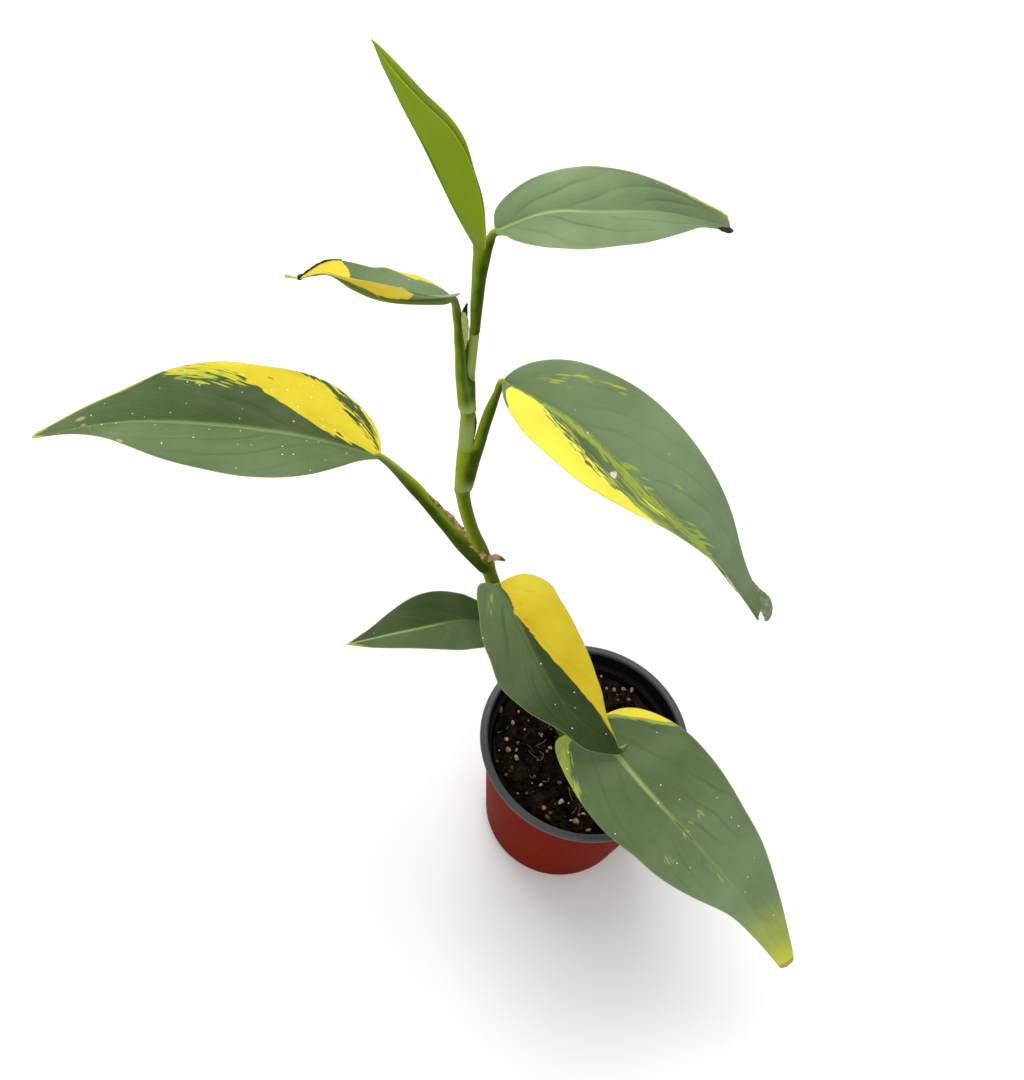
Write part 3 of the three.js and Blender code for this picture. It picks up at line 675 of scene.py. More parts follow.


# leaves, from the lowest to the newest
# petiole: the stalk's centre line from the stem to the blade; sheath: its radius at those points;
# groove: where its open side looks; sheathEnd: how far up the sheath goes, as a share of the stalk.
# midrib: the blade's centre line on its upper face; face: which way that looks at base, middle, tip.
# half: widest half-widths, left and right of the midrib; shape: exponents of each outline;
# trim: millimetres added to each half-width at nine equal steps; lobe: how far each half runs back.
# fold and rim: degrees at which the halves rise at the midrib and at the edge, at base, middle, tip.
# patches: (t, inner, outer, wild) down one half, inner and outer as shares of the half-width, wild
# the raggedness in millimetres; a green patch cuts the yellow and lime ones. spots: (tone, t, side,
# long, wide). shade: 0 deep green, 1 light grey-green, along each half: partly the leaf's own tone and
# partly painted light and shade for how each half lies to the light, the grey at the light end being
# painted sheen; gold: how deep the yellow is, partly its own gold and partly painted shade on yellow
# that lies away from the light; limeTone: 0 green lime, 1 yellow lime; limeShare: how much of it
# shows; both are one value or nine along the blade. dryTone: 0 tan, 1 cream; dust: share of the 6 mm
# cells with a white speck; creases: how clear the side veins are; footBloom: how grey the sheath's
# foot is.
# ribGlow: how pale the midrib is along the blade; ribWidth: how wide that line is, as a share of the
# usual; ribScale: the same for the rib under the blade; lightFrom: the way of the stalk's painted
# light, its side painted paler there and darker, as painted shade, on the far side.
# wing: millimetres that the sheath reaches over to the stem beside it, at equal steps of the stalk.

lowLeaf = {
    "node": "leaf_1",
    "petiole": [[-18, 8, 95], [-10, -2, 115], [-5, -12, 135], [-4, -18, 149]],
    "sheath": [4.3, 2.8, 2.4, 1.5], "groove": [-0.3, 0.9, 0.3], "sheathEnd": 0.7,
    "midrib": [[-4, -18, 150], [24, -43, 154], [56, -54, 132], [90, -63, 100], [122, -77, 68]],
    "face": [[0.1, -0.2, 1], [0.3, -0.65, 0.75], [0.3, -0.75, 0.6]],
    "half": [32, 28], "shape": [[0.32, 0.82], [0.36, 1.15]],
    "trim": [[0, 0, 0, 0, -0.5, 0, -1, 0, 3.5], [0, 0.5, -0.5, -1.5, 0.5, 0, -2, 0, 3]],
    "lobe": [-0.5, 7.5], "fold": [12, 10, 14], "rim": [2, -4, 6],
    "shade": [[0.43, 0.54, 0.75, 0.81, 0.72], [0.46, 0.54, 0.73, 0.9, 0.8]],
    "gold": 0.5, "limeTone": [0.05, 0.05, 0.05, 0.05, 0.05, 0.05, 0.2, 0.6, 1.2],
    "limeShare": [0.7, 0.7, 0.62, 0.62, 0.62, 0.62, 0.0, 0.4, 0.9],
    "dryTone": 0.0, "dust": 0.12, "creases": 0.8,
    "ribGlow": [0.7, 0.75, 0.2, 0.1, 0.3],
    "wing": [3, 3, 0, 0, 0],
    "patches": [
        ("yellow", -1, [
            (0, 0.6, 1.1, 0.6), (0.03, 0.66, 1.1, 0.6), (0.08, 0.8, 1.1, 0.5), (0.13, 0.94, 1.1, 0.3),
            (0.17, 1.1, 1.1, 0.2)]),
        ("lime", -1, [
            (0, 0.5, 1.1, 1.0), (0.05, 0.6, 1.1, 1.0), (0.1, 0.76, 1.1, 1), (0.16, 0.96, 1.1, 0.5),
            (0.22, 1.1, 1.1, 0.3)]),
        ("lime", 1, [
            (0, 0.5, 1.4, 2), (0.06, 0.72, 1.4, 2), (0.12, 0.88, 1.4, 1.5), (0.2, 1.0, 1.4, 1),
            (0.27, 1.1, 1.1, 1)]),
        ("lime", 1, [(0.76, -1, 1.5, 1), (0.8, -1, 1.5, 2), (0.9, -1, 1.5, 1), (1, -1, 1.5, 1)]),
        ("lime", -1, [(0.76, -1, 1.5, 1), (0.8, -1, 1.5, 2), (0.9, -1, 1.5, 1), (1, -1, 1.5, 1)]),
        ("dry", 1, [(0.978, 1.1, 1.1, 0.3), (0.986, -0.2, 1.1, 0.3), (1, -0.2, 1.1, 0.3)]),
        ("dry", -1, [(0.978, 1.1, 1.1, 0.3), (0.986, -0.2, 1.1, 0.3), (1, -0.2, 1.1, 0.3)]),
    ],
    "spots": [
        ("lime", 0.438, -0.35, 1.5, 1.0), ("lime", 0.442, -0.17, 1.2, 0.8), ("lime", 0.458, 0.0, 1.6, 1.1),
        ("lime", 0.47, 0.04, 1.1, 0.7), ("lime", 0.479, 0.6, 1.8, 1.3), ("lime", 0.49, 0.54, 1.0, 0.7),
        ("lime", 0.6, 0.13, 7, 0.5),
    ],
}
darkLeaf = {
    "node": "leaf_2",
    "petiole": [[-33, 13, 118], [-42, 5, 136], [-55, 5, 156], [-62, 8, 171]],
    "sheath": [4.3, 2.6, 2.2, 1.4], "groove": [0.5, 0.5, 0.7], "sheathEnd": 0.7,
    "midrib": [[-63, 8, 172], [-76, 4, 172], [-91, 0, 164], [-107, -2, 151], [-125, -4, 135]],
    "face": [[0, 0.1, 1], [-0.35, -0.4, 0.85], [-0.6, -0.1, 0.75]],
    "half": [14.5, 16], "shape": [[0.25, 1.0], [0.62, 0.92]],
    "trim": [[0, 0.5, 0, -1, -1.5, -1, 0, 0.5, 0], [0, 1, -0.5, 0, 0.5, 0.5, 0, -1, 0]],
    "lobe": [5, 3.5], "fold": [4, 4, 4], "rim": [-4, -6, -4],
    "shade": [[0.38, 0.48, 0.53, 0.61, 0.5], [0.16, 0.12, 0.18, 0.34, 0.36]],
    "gold": 0.5, "limeTone": 0.5, "limeShare": 0.6, "dryTone": 0.0, "dust": 0.1, "creases": 0.6,
    "ribGlow": [0.0, 0.15, 0.7, 1.0, 1.0],
    "wing": [3, 3, 0, 0, 0],
    "patches": [
        ("lime", -1, [
            (0.82, 1.1, 1.1, 0.5), (0.9, 0.7, 1.1, 0.8), (0.96, 0.1, 1.1, 0.8), (1, -0.2, 1.1, 0.5)]),
        ("lime", 1, [(0.9, 1.1, 1.1, 0.5), (0.95, 0.7, 1.1, 0.8), (1, -0.2, 1.1, 0.5)]),
    ],
    "spots": [],
}
frontLeaf = {
    "node": "leaf_3",
    "petiole": [[-45, 16, 140], [-40, 8, 158], [-43, 0, 178], [-53, 0, 196], [-62, 7, 206]],
    "sheath": [4.3, 2.7, 2.4, 2.0, 1.4], "groove": [-0.7, 0.6, 0.2], "sheathEnd": 0.7,
    "midrib": [[-63, 8, 207], [-50, -7, 206], [-35, -20, 195], [-15, -29, 176], [12, -31, 158]],
    "face": [[0.05, -0.1, 1], [0.1, -0.75, 0.65], [0.35, -0.7, 0.6]],
    "half": [23.5, 18.5], "shape": [[0.48, 0.9], [0.6, 0.95]],
    "trim": [[0, 1, -2, -1.5, 0, 1, 2, -0.5, -2], [0, 0.5, 0.5, 0, 2, 0, -2.5, 2, 2.5]],
    "lobe": [2.5, 6], "fold": [12, 14, 20], "rim": [2, 0, 16],
    "shade": [[0.2, 0.2, 0.1, 0.05, 0.04], [0.58, 0.59, 0.5, 0.14, 0.0]],
    "gold": 0.85, "limeTone": 0.4, "limeShare": 0.4, "dryTone": 0.0, "dust": 0.14, "creases": 1.0,
    "ribGlow": [0.1, 0.15, 0.1, 0.05, 0.0],
    "wing": [3, 3, 0, 0, 0],
    "patches": [
        ("yellow", -1, [
            (0, 0.1, 1.1, 0.15), (0.05, 0.1, 1.1, 0.15), (0.1, 0.09, 1.1, 0.15),
            (0.15, 0.07, 1.1, 0.15), (0.2, 0.02, 1.1, 0.2), (0.25, 0.05, 1.1, 0.25),
            (0.3, 0.12, 1.1, 0.3), (0.35, 0.17, 1.1, 0.35), (0.4, 0.2, 1.1, 0.3), (0.5, 0.31, 1.1, 0.2),
            (0.6, 0.46, 1.1, 0.15), (0.7, 0.57, 1.1, 0.15), (0.8, 0.7, 1.1, 0.3), (0.9, 0.84, 1.1, 0.2),
            (0.95, 0.95, 1.1, 0.2), (1, 1.1, 1.1, 0.1)]),
    ],
    "spots": [
        ("green", 0.179, -0.2, 1.4, 0.3), ("green", 0.229, -0.24, 1.2, 0.3),
        ("green", 0.3, -0.13, 2.2, 0.6), ("lime", 0.1, 0.5, 2.0, 0.5), ("lime", 0.14, 0.62, 1.6, 0.4),
    ],
}
wedgeLeaf = {
    "node": "leaf_4",
    "petiole": [[-69, 23, 194], [-81, 25, 203], [-93, 29, 212], [-108, 34, 223], [-125, 38, 234]],
    "sheath": [4.4, 3.9, 3.4, 3.0, 1.5], "groove": [0.35, 0.5, 0.8], "sheathEnd": 0.72,
    "midrib": [[-126, 38, 235], [-159, 26, 252], [-195, 18, 255], [-234, 15, 243], [-275, 12, 218]],
    "face": [[0.1, 0.15, 0.95], [-0.05, -0.3, 0.95], [-0.5, 0.1, 0.85]],
    "half": [26.5, 28.5], "shape": [[0.85, 1.45], [0.5, 1.05]],
    "trim": [[0, -3, 0.5, 0, -1, 0, 0, 0, 2.5], [0, 0.5, -1, -1.5, 0.5, 0.5, -1.5, 0, 1]],
    "lobe": [-2.5, 2], "fold": [30, 30, 34], "rim": [12, 10, 22],
    "shade": [[0.57, 0.62, 0.56, 0.7, 0.45], [0.4, 0.4, 0.42, 0.5, 0.7]],
    "gold": 0.66, "limeTone": 0.4, "limeShare": 0.9, "dryTone": 0.15, "dust": 0.32, "creases": 0.65,
    "ribGlow": [0.3, 0.35, 0.35, 0.35, 0.35], "ribWidth": 0.55,
    # lightFrom turns this stalk's painted light so that its upper side is painted paler
    "wing": [4, 4, 3, 1.5, 0.5, 0, 0, 0, 0, 0, 0], "lightFrom": [0.1, 0.8, 0.6],
    "patches": [
        ("yellow", 1, [
            (0, -0.1, 1.4, 0.2), (0.03, 0.05, 1.4, 0.2), (0.06, 0.07, 1.4, 0.4), (0.1, 0.1, 1.4, 0.7),
            (0.15, 0.13, 1.4, 0.3), (0.2, 0.2, 1.4, 0.15), (0.25, 0.3, 1.4, 0.15),
            (0.3, 0.42, 1.4, 0.15), (0.35, 0.55, 1.4, 0.4), (0.39, 0.66, 1.5, 1.2),
            (0.44, 0.78, 1.5, 2.4), (0.5, 0.88, 1.5, 2.4), (0.56, 0.94, 1.5, 2.4),
            (0.63, 0.99, 1.3, 0.8), (0.68, 1.1, 1.1, 0.4)]),
        ("green", 1, [
            (0.01, 0.3, 0.45, 0.6), (0.03, 0.42, 0.75, 1.6), (0.08, 0.62, 0.97, 2.4),
            (0.13, 0.74, 1.0, 2.6), (0.18, 0.84, 1.0, 2.2), (0.22, 0.93, 1.0, 1.4),
            (0.27, 1.0, 1.02, 0.6), (0.3, 1.05, 1.05, 0.5)]),
        ("lime", 1, [(0.0, 0.25, 1.1, 2), (0.1, 0.5, 1.1, 3), (0.2, 0.75, 1.1, 3), (0.3, 1.1, 1.1, 1)]),
        ("lime", 1, [
            (0.38, 0.8, 1.1, 2), (0.46, 0.7, 1.1, 3.5), (0.56, 0.78, 1.1, 3.5), (0.62, 0.94, 1.1, 2),
            (0.68, 1.1, 1.1, 0.5)]),
        ("lime", -1, [(0.95, 1.1, 1.1, 0.3), (0.985, 0.2, 1.1, 0.3), (1, -0.1, 1.1, 0.3)]),
        ("lime", 1, [
            (0.62, 1.02, 1.2, 0.1), (0.7, 0.965, 1.2, 0.1), (0.85, 0.94, 1.2, 0.1),
            (0.95, 0.85, 1.2, 0.2), (0.985, 0.4, 1.2, 0.3), (1, -0.1, 1.2, 0.3)]),
    ],
    "spots": [
        ("dry", 0.862, 0.44, 2.4, 0.8), ("dry", 0.854, 0.1, 1.2, 0.6), ("dry", 0.717, -0.92, 1.6, 0.7),
        ("green", 0.36, 0.8, 1.6, 0.4), ("green", 0.3, 0.74, 1.2, 0.4), ("green", 0.14, 0.2, 1.6, 0.6),
    ],
}
halfLeaf = {
    "node": "leaf_5",
    "petiole": [[-88, 30, 240], [-86, 36, 260], [-85, 43, 276], [-83, 48, 290], [-82, 49, 294]],
    "sheath": [4.1, 2.9, 2.7, 1.7, 1.3], "groove": [-0.8, 0.2, 0.5], "sheathEnd": 0.75,
    "midrib": [[-82, 49, 295], [-52, 31, 305], [-21, 23, 290], [17, 20, 258], [52, 21, 214]],
    "face": [[-0.4, -0.2, 0.9], [0.5, -0.25, 0.8], [0.7, 0.3, 0.6]],
    "half": [28.5, 22], "shape": [[0.68, 0.85], [0.85, 1.8]],
    "trim": [[0, 0, -1, -0.5, 0, 0, -0.5, -1, 5.5], [0, -2, 0, 2, -0.5, -2.5, -1.5, -2.5, 2.5]],
    "lobe": [1, 0], "fold": [27, 31, 41], "rim": [11, 11, 31],
    "shade": [[0.74, 0.93, 1.0, 0.82, 0.67], [0.72, 0.7, 0.72, 0.66, 0.36]],
    "gold": 0.0, "limeTone": 0.15, "limeShare": 0.85, "dryTone": 1.0, "dust": 0.05, "creases": 0.8,
    "ribGlow": [0.2, 0.3, 0.3, 0.3, 0.2],
    "wing": [9, 9, 9, 0, 0, 0, 0, 0, 0, 0, 0], "footBloom": 0.5,
    "patches": [
        ("yellow", 1, [
            (0.035, 0.05, 0.95, 0.4), (0.05, 0.04, 1.1, 0.4), (0.08, 0.03, 1.1, 0.4),
            (0.14, 0.05, 1.1, 0.3), (0.17, 0.12, 1.4, 0.5), (0.2, 0.2, 1.5, 0.9),
            (0.25, 0.27, 1.5, 1.3), (0.3, 0.38, 1.5, 1.4), (0.4, 0.55, 1.4, 1.3), (0.48, 0.7, 1.4, 0.9),
            (0.56, 0.88, 1.1, 0.7), (0.62, 1.1, 1.1, 0.3)]),
        ("green", 1, [
            (0.0, 0.2, 1.1, 0.2), (0.03, 0.6, 1.1, 0.3), (0.05, 0.8, 1.1, 0.4), (0.075, 0.86, 1.1, 0.4),
            (0.1, 1.02, 1.1, 0.3)]),
        ("lime", 1, [
            (0.15, 0.0, 0.1, 0.3), (0.3, 0.0, 0.14, 0.8), (0.42, 0.0, 0.2, 2.0), (0.5, 0.0, 0.4, 4),
            (0.62, 0.0, 0.62, 4), (0.75, -0.05, 0.85, 3), (0.88, 0.2, 1.1, 1.5),
            (0.95, 0.9, 0.9, 0.3)]),
        ("lime", 1, [
            (0.15, 0.1, 0.35, 1.2), (0.24, 0.22, 0.5, 1.4), (0.34, 0.4, 0.62, 1.4),
            (0.44, 0.5, 0.8, 1.6), (0.55, 0.7, 1.0, 1.6), (0.62, 0.8, 1.1, 1.2)]),
        ("lime", 1, [
            (0.55, 0.88, 1.1, 2), (0.65, 0.85, 1.1, 2), (0.75, 0.8, 1.1, 1), (0.9, 1.1, 1.1, 0.3)]),
    ],
    "spots": [
        ("lime", 0.15, -0.5, 4, 0.7), ("lime", 0.18, -0.64, 3, 0.8), ("lime", 0.215, -0.74, 3, 0.6),
        ("lime", 0.29, -0.84, 5, 0.7), ("lime", 0.604, -0.36, 2.0, 0.4), ("lime", 0.529, -0.29, 1.6, 0.3),
        ("green", 0.225, 0.23, 5.5, 0.9), ("green", 0.262, 0.3, 4.0, 1.3), ("green", 0.305, 0.36, 6.0, 1.5),
        ("green", 0.352, 0.46, 5.5, 1.7), ("green", 0.385, 0.56, 4.0, 1.1), ("green", 0.45, 0.62, 6.0, 1.0),
        ("green", 0.5, 0.5, 5.0, 0.9), ("green", 0.56, 0.55, 7.0, 1.0),
        ("dry", 0.433, 0.43, 2.0, 1.5), ("dry", 0.437, 0.34, 1.2, 0.9), ("yellow", 0.555, 0.5, 4.5, 0.7),
    ],
}
edgeLeaf = {
    "node": "leaf_6",
    "petiole": [[-93, 39, 284], [-97, 40, 300], [-100, 40, 320], [-103, 39, 336], [-106, 39, 347]],
    "sheath": [3.9, 3.1, 2.8, 1.9, 1.3], "groove": [0.9, -0.1, 0.3], "sheathEnd": 0.72,
    "midrib": [[-107, 39, 348], [-125.2, 31.7, 348.5], [-138.2, 30.7, 348.5], [-153.2, 35.7, 347.4],
               [-166, 40, 334]],
    "face": [[0.78, 0.52, 0.35], [0.48, 0.53, 0.7], [-0.74, -0.06, 0.67]],
    "half": [20.7, 15.4], "shape": [[0.05, 1.71], [0.65, 0.92]],
    "trim": [[0, 0, 0, 0, 0, 0, 0, 0, 0], [0, -0.5, -1, -1, -1, -2, -3, -1, 0]],
    "lobe": [0.2, -0.5], "fold": [35, 39, 5], "rim": [18, 33, -19],
    "shade": [[0.92, 0.86, 0.78, 0.7, 0.7], [0.78, 0.72, 0.63, 0.63, 0.6]],
    "gold": 0.8, "limeTone": 0.3, "limeShare": 0.8, "dryTone": 0.0, "dust": 0.12, "creases": 0.6,
    "ribGlow": [0.2, 0.2, 0.2, 0.2, 0.2],
    "wing": [9, 9, 2.2, 0.4, 0, 0, 0, 0, 0, 0, 0], "footBloom": 0.7,
    "patches": [
        ("yellow", 1, [
            (0.0, 0.95, 1.1, 0.3), (0.06, 0.86, 1.1, 0.3), (0.15, 0.82, 1.1, 0.3),
            (0.22, 0.94, 1.1, 0.3), (0.28, 0.97, 1.1, 0.3), (0.4, 1.0, 1.1, 0.2)]),
        ("yellow", 1, [
            (0.6, -0.1, -0.1, 0.3), (0.62, -0.1, 0.2, 0.3), (0.68, -0.1, 0.55, 0.3),
            (0.75, -0.1, 1.0, 0.3), (0.77, -0.1, 1.4, 0.3), (1, -0.1, 1.4, 0.2)]),
        ("yellow", -1, [
            (0.2, 0.1, 0.9, 0.4), (0.3, 0.0, 1.1, 0.8), (0.4, 0.1, 1.1, 0.8), (0.5, 0.4, 1.1, 0.6),
            (0.6, 0.55, 1.1, 0.4), (0.7, 0.5, 1.1, 0.4), (0.78, 0.0, 1.1, 0.4), (1, -0.1, 1.1, 0.2)]),
    ],
    "spots": [],
}
greenLeaf = {
    "node": "leaf_7",
    "petiole": [[-96.5, 44, 325], [-98.5, 47, 343], [-99, 50, 356], [-98, 53, 366], [-97, 54, 371]],
    "sheath": [2.2, 2.8, 2.7, 1.8, 1.4], "groove": [-0.9, -0.2, 0.2], "sheathEnd": 0.8,
    "midrib": [[-97, 54, 372], [-80, 54, 388], [-62, 59, 390], [-39, 77, 380], [-11, 104, 355]],
    "face": [[-0.6, -0.1, 0.75], [0.25, -0.15, 0.95], [0.55, 0.2, 0.8]],
    "half": [16.5, 19.3], "shape": [[0.43, 0.7], [0.65, 1.0]],
    "trim": [[0, 0.5, -1, -0.5, 0.5, 0.5, -0.5, -0.5, 2.5], [0, -1.5, 2, 0.5, -2, -0.5, 0, -1.5, 3.5]],
    "lobe": [3, -3], "fold": [26, 24, 34], "rim": [12, 6, 24],
    "shade": [[0.76, 0.92, 0.86, 0.82, 0.84], [0.8, 0.82, 0.85, 0.83, 0.7]],
    "gold": 0.4, "limeTone": 0.0, "limeShare": 0.7, "dryTone": 0.0, "dust": 0.06, "creases": 1.0,
    "ribGlow": [1.0, 0.8, 0.5, 0.4, 0.3],
    "wing": [0, 0, 0, 0, 0.3, 0.8, 1.6, 1.5, 0.8, 0, 0],
    "patches": [
        ("lime", -1, [
            (0.8, 1.02, 1.1, 0.3), (0.87, 0.93, 1.1, 0.4), (0.94, 0.8, 1.1, 0.4), (1, 0.7, 1.1, 0.3)]),
    ],
    "spots": [],
}
newLeaf = {
    "node": "leaf_8",
    "petiole": [[-98, 46, 333], [-99.5, 48, 343], [-101, 50, 356], [-102, 51, 364]],
    "sheath": [1.2, 1.4, 1.5, 1.4], "groove": [0.9, 0.1, 0.3], "sheathEnd": 0.5,
    "midrib": [[-102, 51, 365], [-112, 44, 390], [-123, 43, 412], [-134, 42, 432], [-146, 46, 450]],
    "face": [[0.85, -0.2, 0.3], [0.87, 0.18, 0.47], [0.8, -0.2, 0.57]],
    "half": [13, 13], "shape": [[0.78, 1.1], [0.76, 0.9]],
    "trim": [[0, 0, 0, 0, 0, 0.5, 0, -0.5, 0], [0, 0, 0, -0.5, 0.5, 0.5, -0.5, -0.5, 0]],
    "lobe": [4, 2.5], "fold": [72, 78, 72], "rim": [84, 88, 80],
    # the young leaf's inner face is painted lighter, as painted light against the shadow of its nearly
    # closed fold
    "shade": [[0.75, 0.8, 0.85, 0.95, 1.0], [0.75, 0.8, 0.85, 0.95, 1.0]],
    "gold": 0.4, "limeTone": 0.0, "limeShare": 0.7, "dryTone": 0.0, "dust": 0.0, "creases": 0.2,
    "ribGlow": [0, 0, 0, 0, 0],
    "wing": [0, 0], "ribScale": 0.4,
    "patches": [],
    "spots": [],
}
leaves = [lowLeaf, darkLeaf, frontLeaf, wedgeLeaf, halfLeaf, edgeLeaf, greenLeaf, newLeaf]

# how every blade and stalk is made, in millimetres; ribs: radius of the rib under the blade at
# ribPlaces; veins: how many in a blade veinsPer long; veinLean and veinBend: how they sweep towards
# the tip; tipRound: how far from its end the blade is rounded; midribLine: half-width of the pale
# line at the tip, and what the base has more. Across the stalk, in radians from its open side:
# groove: depth as a share of the radius, half-width; wings: height as a share, angle, half-width.
# knee: thickening below the blade, as a share, where on the stalk, half-width.
# waves: how many along the edge, waviness: their height as a share of the half-width;
# sheathGap: what stays between a sheath and the stem inside it
bladeMake = {
    "thickness": 0.75, "rows": 150, "columns": 46,
    "veins": 4.6, "veinsPer": 160, "veinLean": (0.6, 0.8), "veinBend": 1.15,
    "creaseDepth": 0.42, "midribDepth": 0.3,
    "ribs": [1.3, 1.05, 0.85, 0.7, 0.5, 0.35], "ribPlaces": [0.04, 0.2, 0.38, 0.56, 0.74, 0.9],
    "waviness": 0.02, "waves": 2.3, "tipRound": 2.2, "midribLine": (0.26, 0.32),
    "groove": (0.5, 0.55), "wings": (0.13, 0.85, 0.24), "knee": (0.12, 0.97, 0.06), "sheathGap": 0.25,
    "stalkRows": 190, "stalkSides": 36,
}


def halfWidth(leaf, which, t):
    # widest half-width times (t/w)^p ((1-t)/(1-w))^q, with w = p / (p + q), and the trim added
    p, q = leaf["shape"][which]
    widest = p / (p + q)
    share = np.maximum(t / widest, 0) ** p * (np.maximum(1 - t, 0) / (1 - widest)) ** q
    trim = lineThrough(np.array(leaf["trim"]).T, t)[..., which]
    return np.maximum(leaf["half"][which] * share + trim, 0.02 * leaf["half"][which])


def bladePoints(leaf, t, side):
    # each half is an arc across the blade: its slope goes evenly from the fold angle to the rim angle
    centre = lineThrough(leaf["midrib"], t)
    forward = directionAlong(leaf["midrib"], t)
    up = easedAlong(leaf["face"], t)
    up = unit(up - (up * forward).sum(-1, keepdims=True) * forward)
    right = np.cross(forward, up)
    reach = np.abs(side)
    width = np.where(side < 0, halfWidth(leaf, 0, t), halfWidth(leaf, 1, t))
    lobe = np.where(side < 0, leaf["lobe"][0], leaf["lobe"][1])
    fold = np.radians(easedAlong(leaf["fold"], t))
    turn = np.radians(easedAlong(leaf["rim"], t)) - fold
    turn = np.where(np.abs(turn) < 1e-4, 1e-4, turn)
    slope = fold + turn * reach
    across = width * (np.sin(slope) - np.sin(fold)) / turn
    rise = -width * (np.cos(slope) - np.cos(fold)) / turn
    start = np.minimum(t / 0.16, 1)
    back = lobe * 6.75 * start * (1 - start) ** 2 * reach ** 1.5
    sign = np.sign(side)
    points = centre + (sign * across)[..., None] * right + rise[..., None] * up - back[..., None] * forward
    out = up * np.cos(slope)[..., None] - right * (sign * np.sin(slope))[..., None]
    return points, out, width


def toneField(leaf, tone, t, side, width, length):
    # millimetres inside the nearest patch or spot of that tone, below zero outside
    field = np.full(t.shape, -9.0)
    wild = np.zeros(t.shape)
    reach = np.abs(side)
    for kind, sign, knots in leaf["patches"]:
        if kind != tone:
            continue
        places, inner, outer, ragged = np.array(knots, float).T
        low, high = np.interp(t, places, inner), np.interp(t, places, outer)
        onSide = np.minimum(reach - low, high - reach) * width
        offSide = -(reach + np.maximum(low, 0)) * width
        found = np.where(side * sign > 0, onSide, offSide)
        beyond = np.maximum(places[0] - t, t - places[-1]) * length
        found = np.where(beyond > 0, np.minimum(found, -0.4 - beyond), found)
        wild = np.where(found > field, np.interp(t, places, ragged), wild)
        field = np.maximum(field, found)
    for kind, place, across, long, wide in leaf["spots"]:
        if kind != tone:
            continue
        far = np.hypot((t - place) * length / long, (side - across) * width / wide)
        found = (1 - far) * min(long, wide)
        wild = np.where(found > field, 1.1 * wide, wild)
        field = np.maximum(field, found)
    return field, wild * np.clip(width / 9, 0.15, 1)


def veinStart(t, reach, s):
    # f, where the side vein through (t, reach) leaves the midrib: t = f + (1 - f)(a + b f) reach^m
    low, more = s["veinLean"]
    lean = np.maximum(reach, 1e-3) ** s["veinBend"]
    middle = 1 + (more - low) * lean
    under = np.maximum(middle**2 - 4 * more * lean * (t - low * lean), 0)
    return (middle - np.sqrt(under)) / (2 * more * lean)


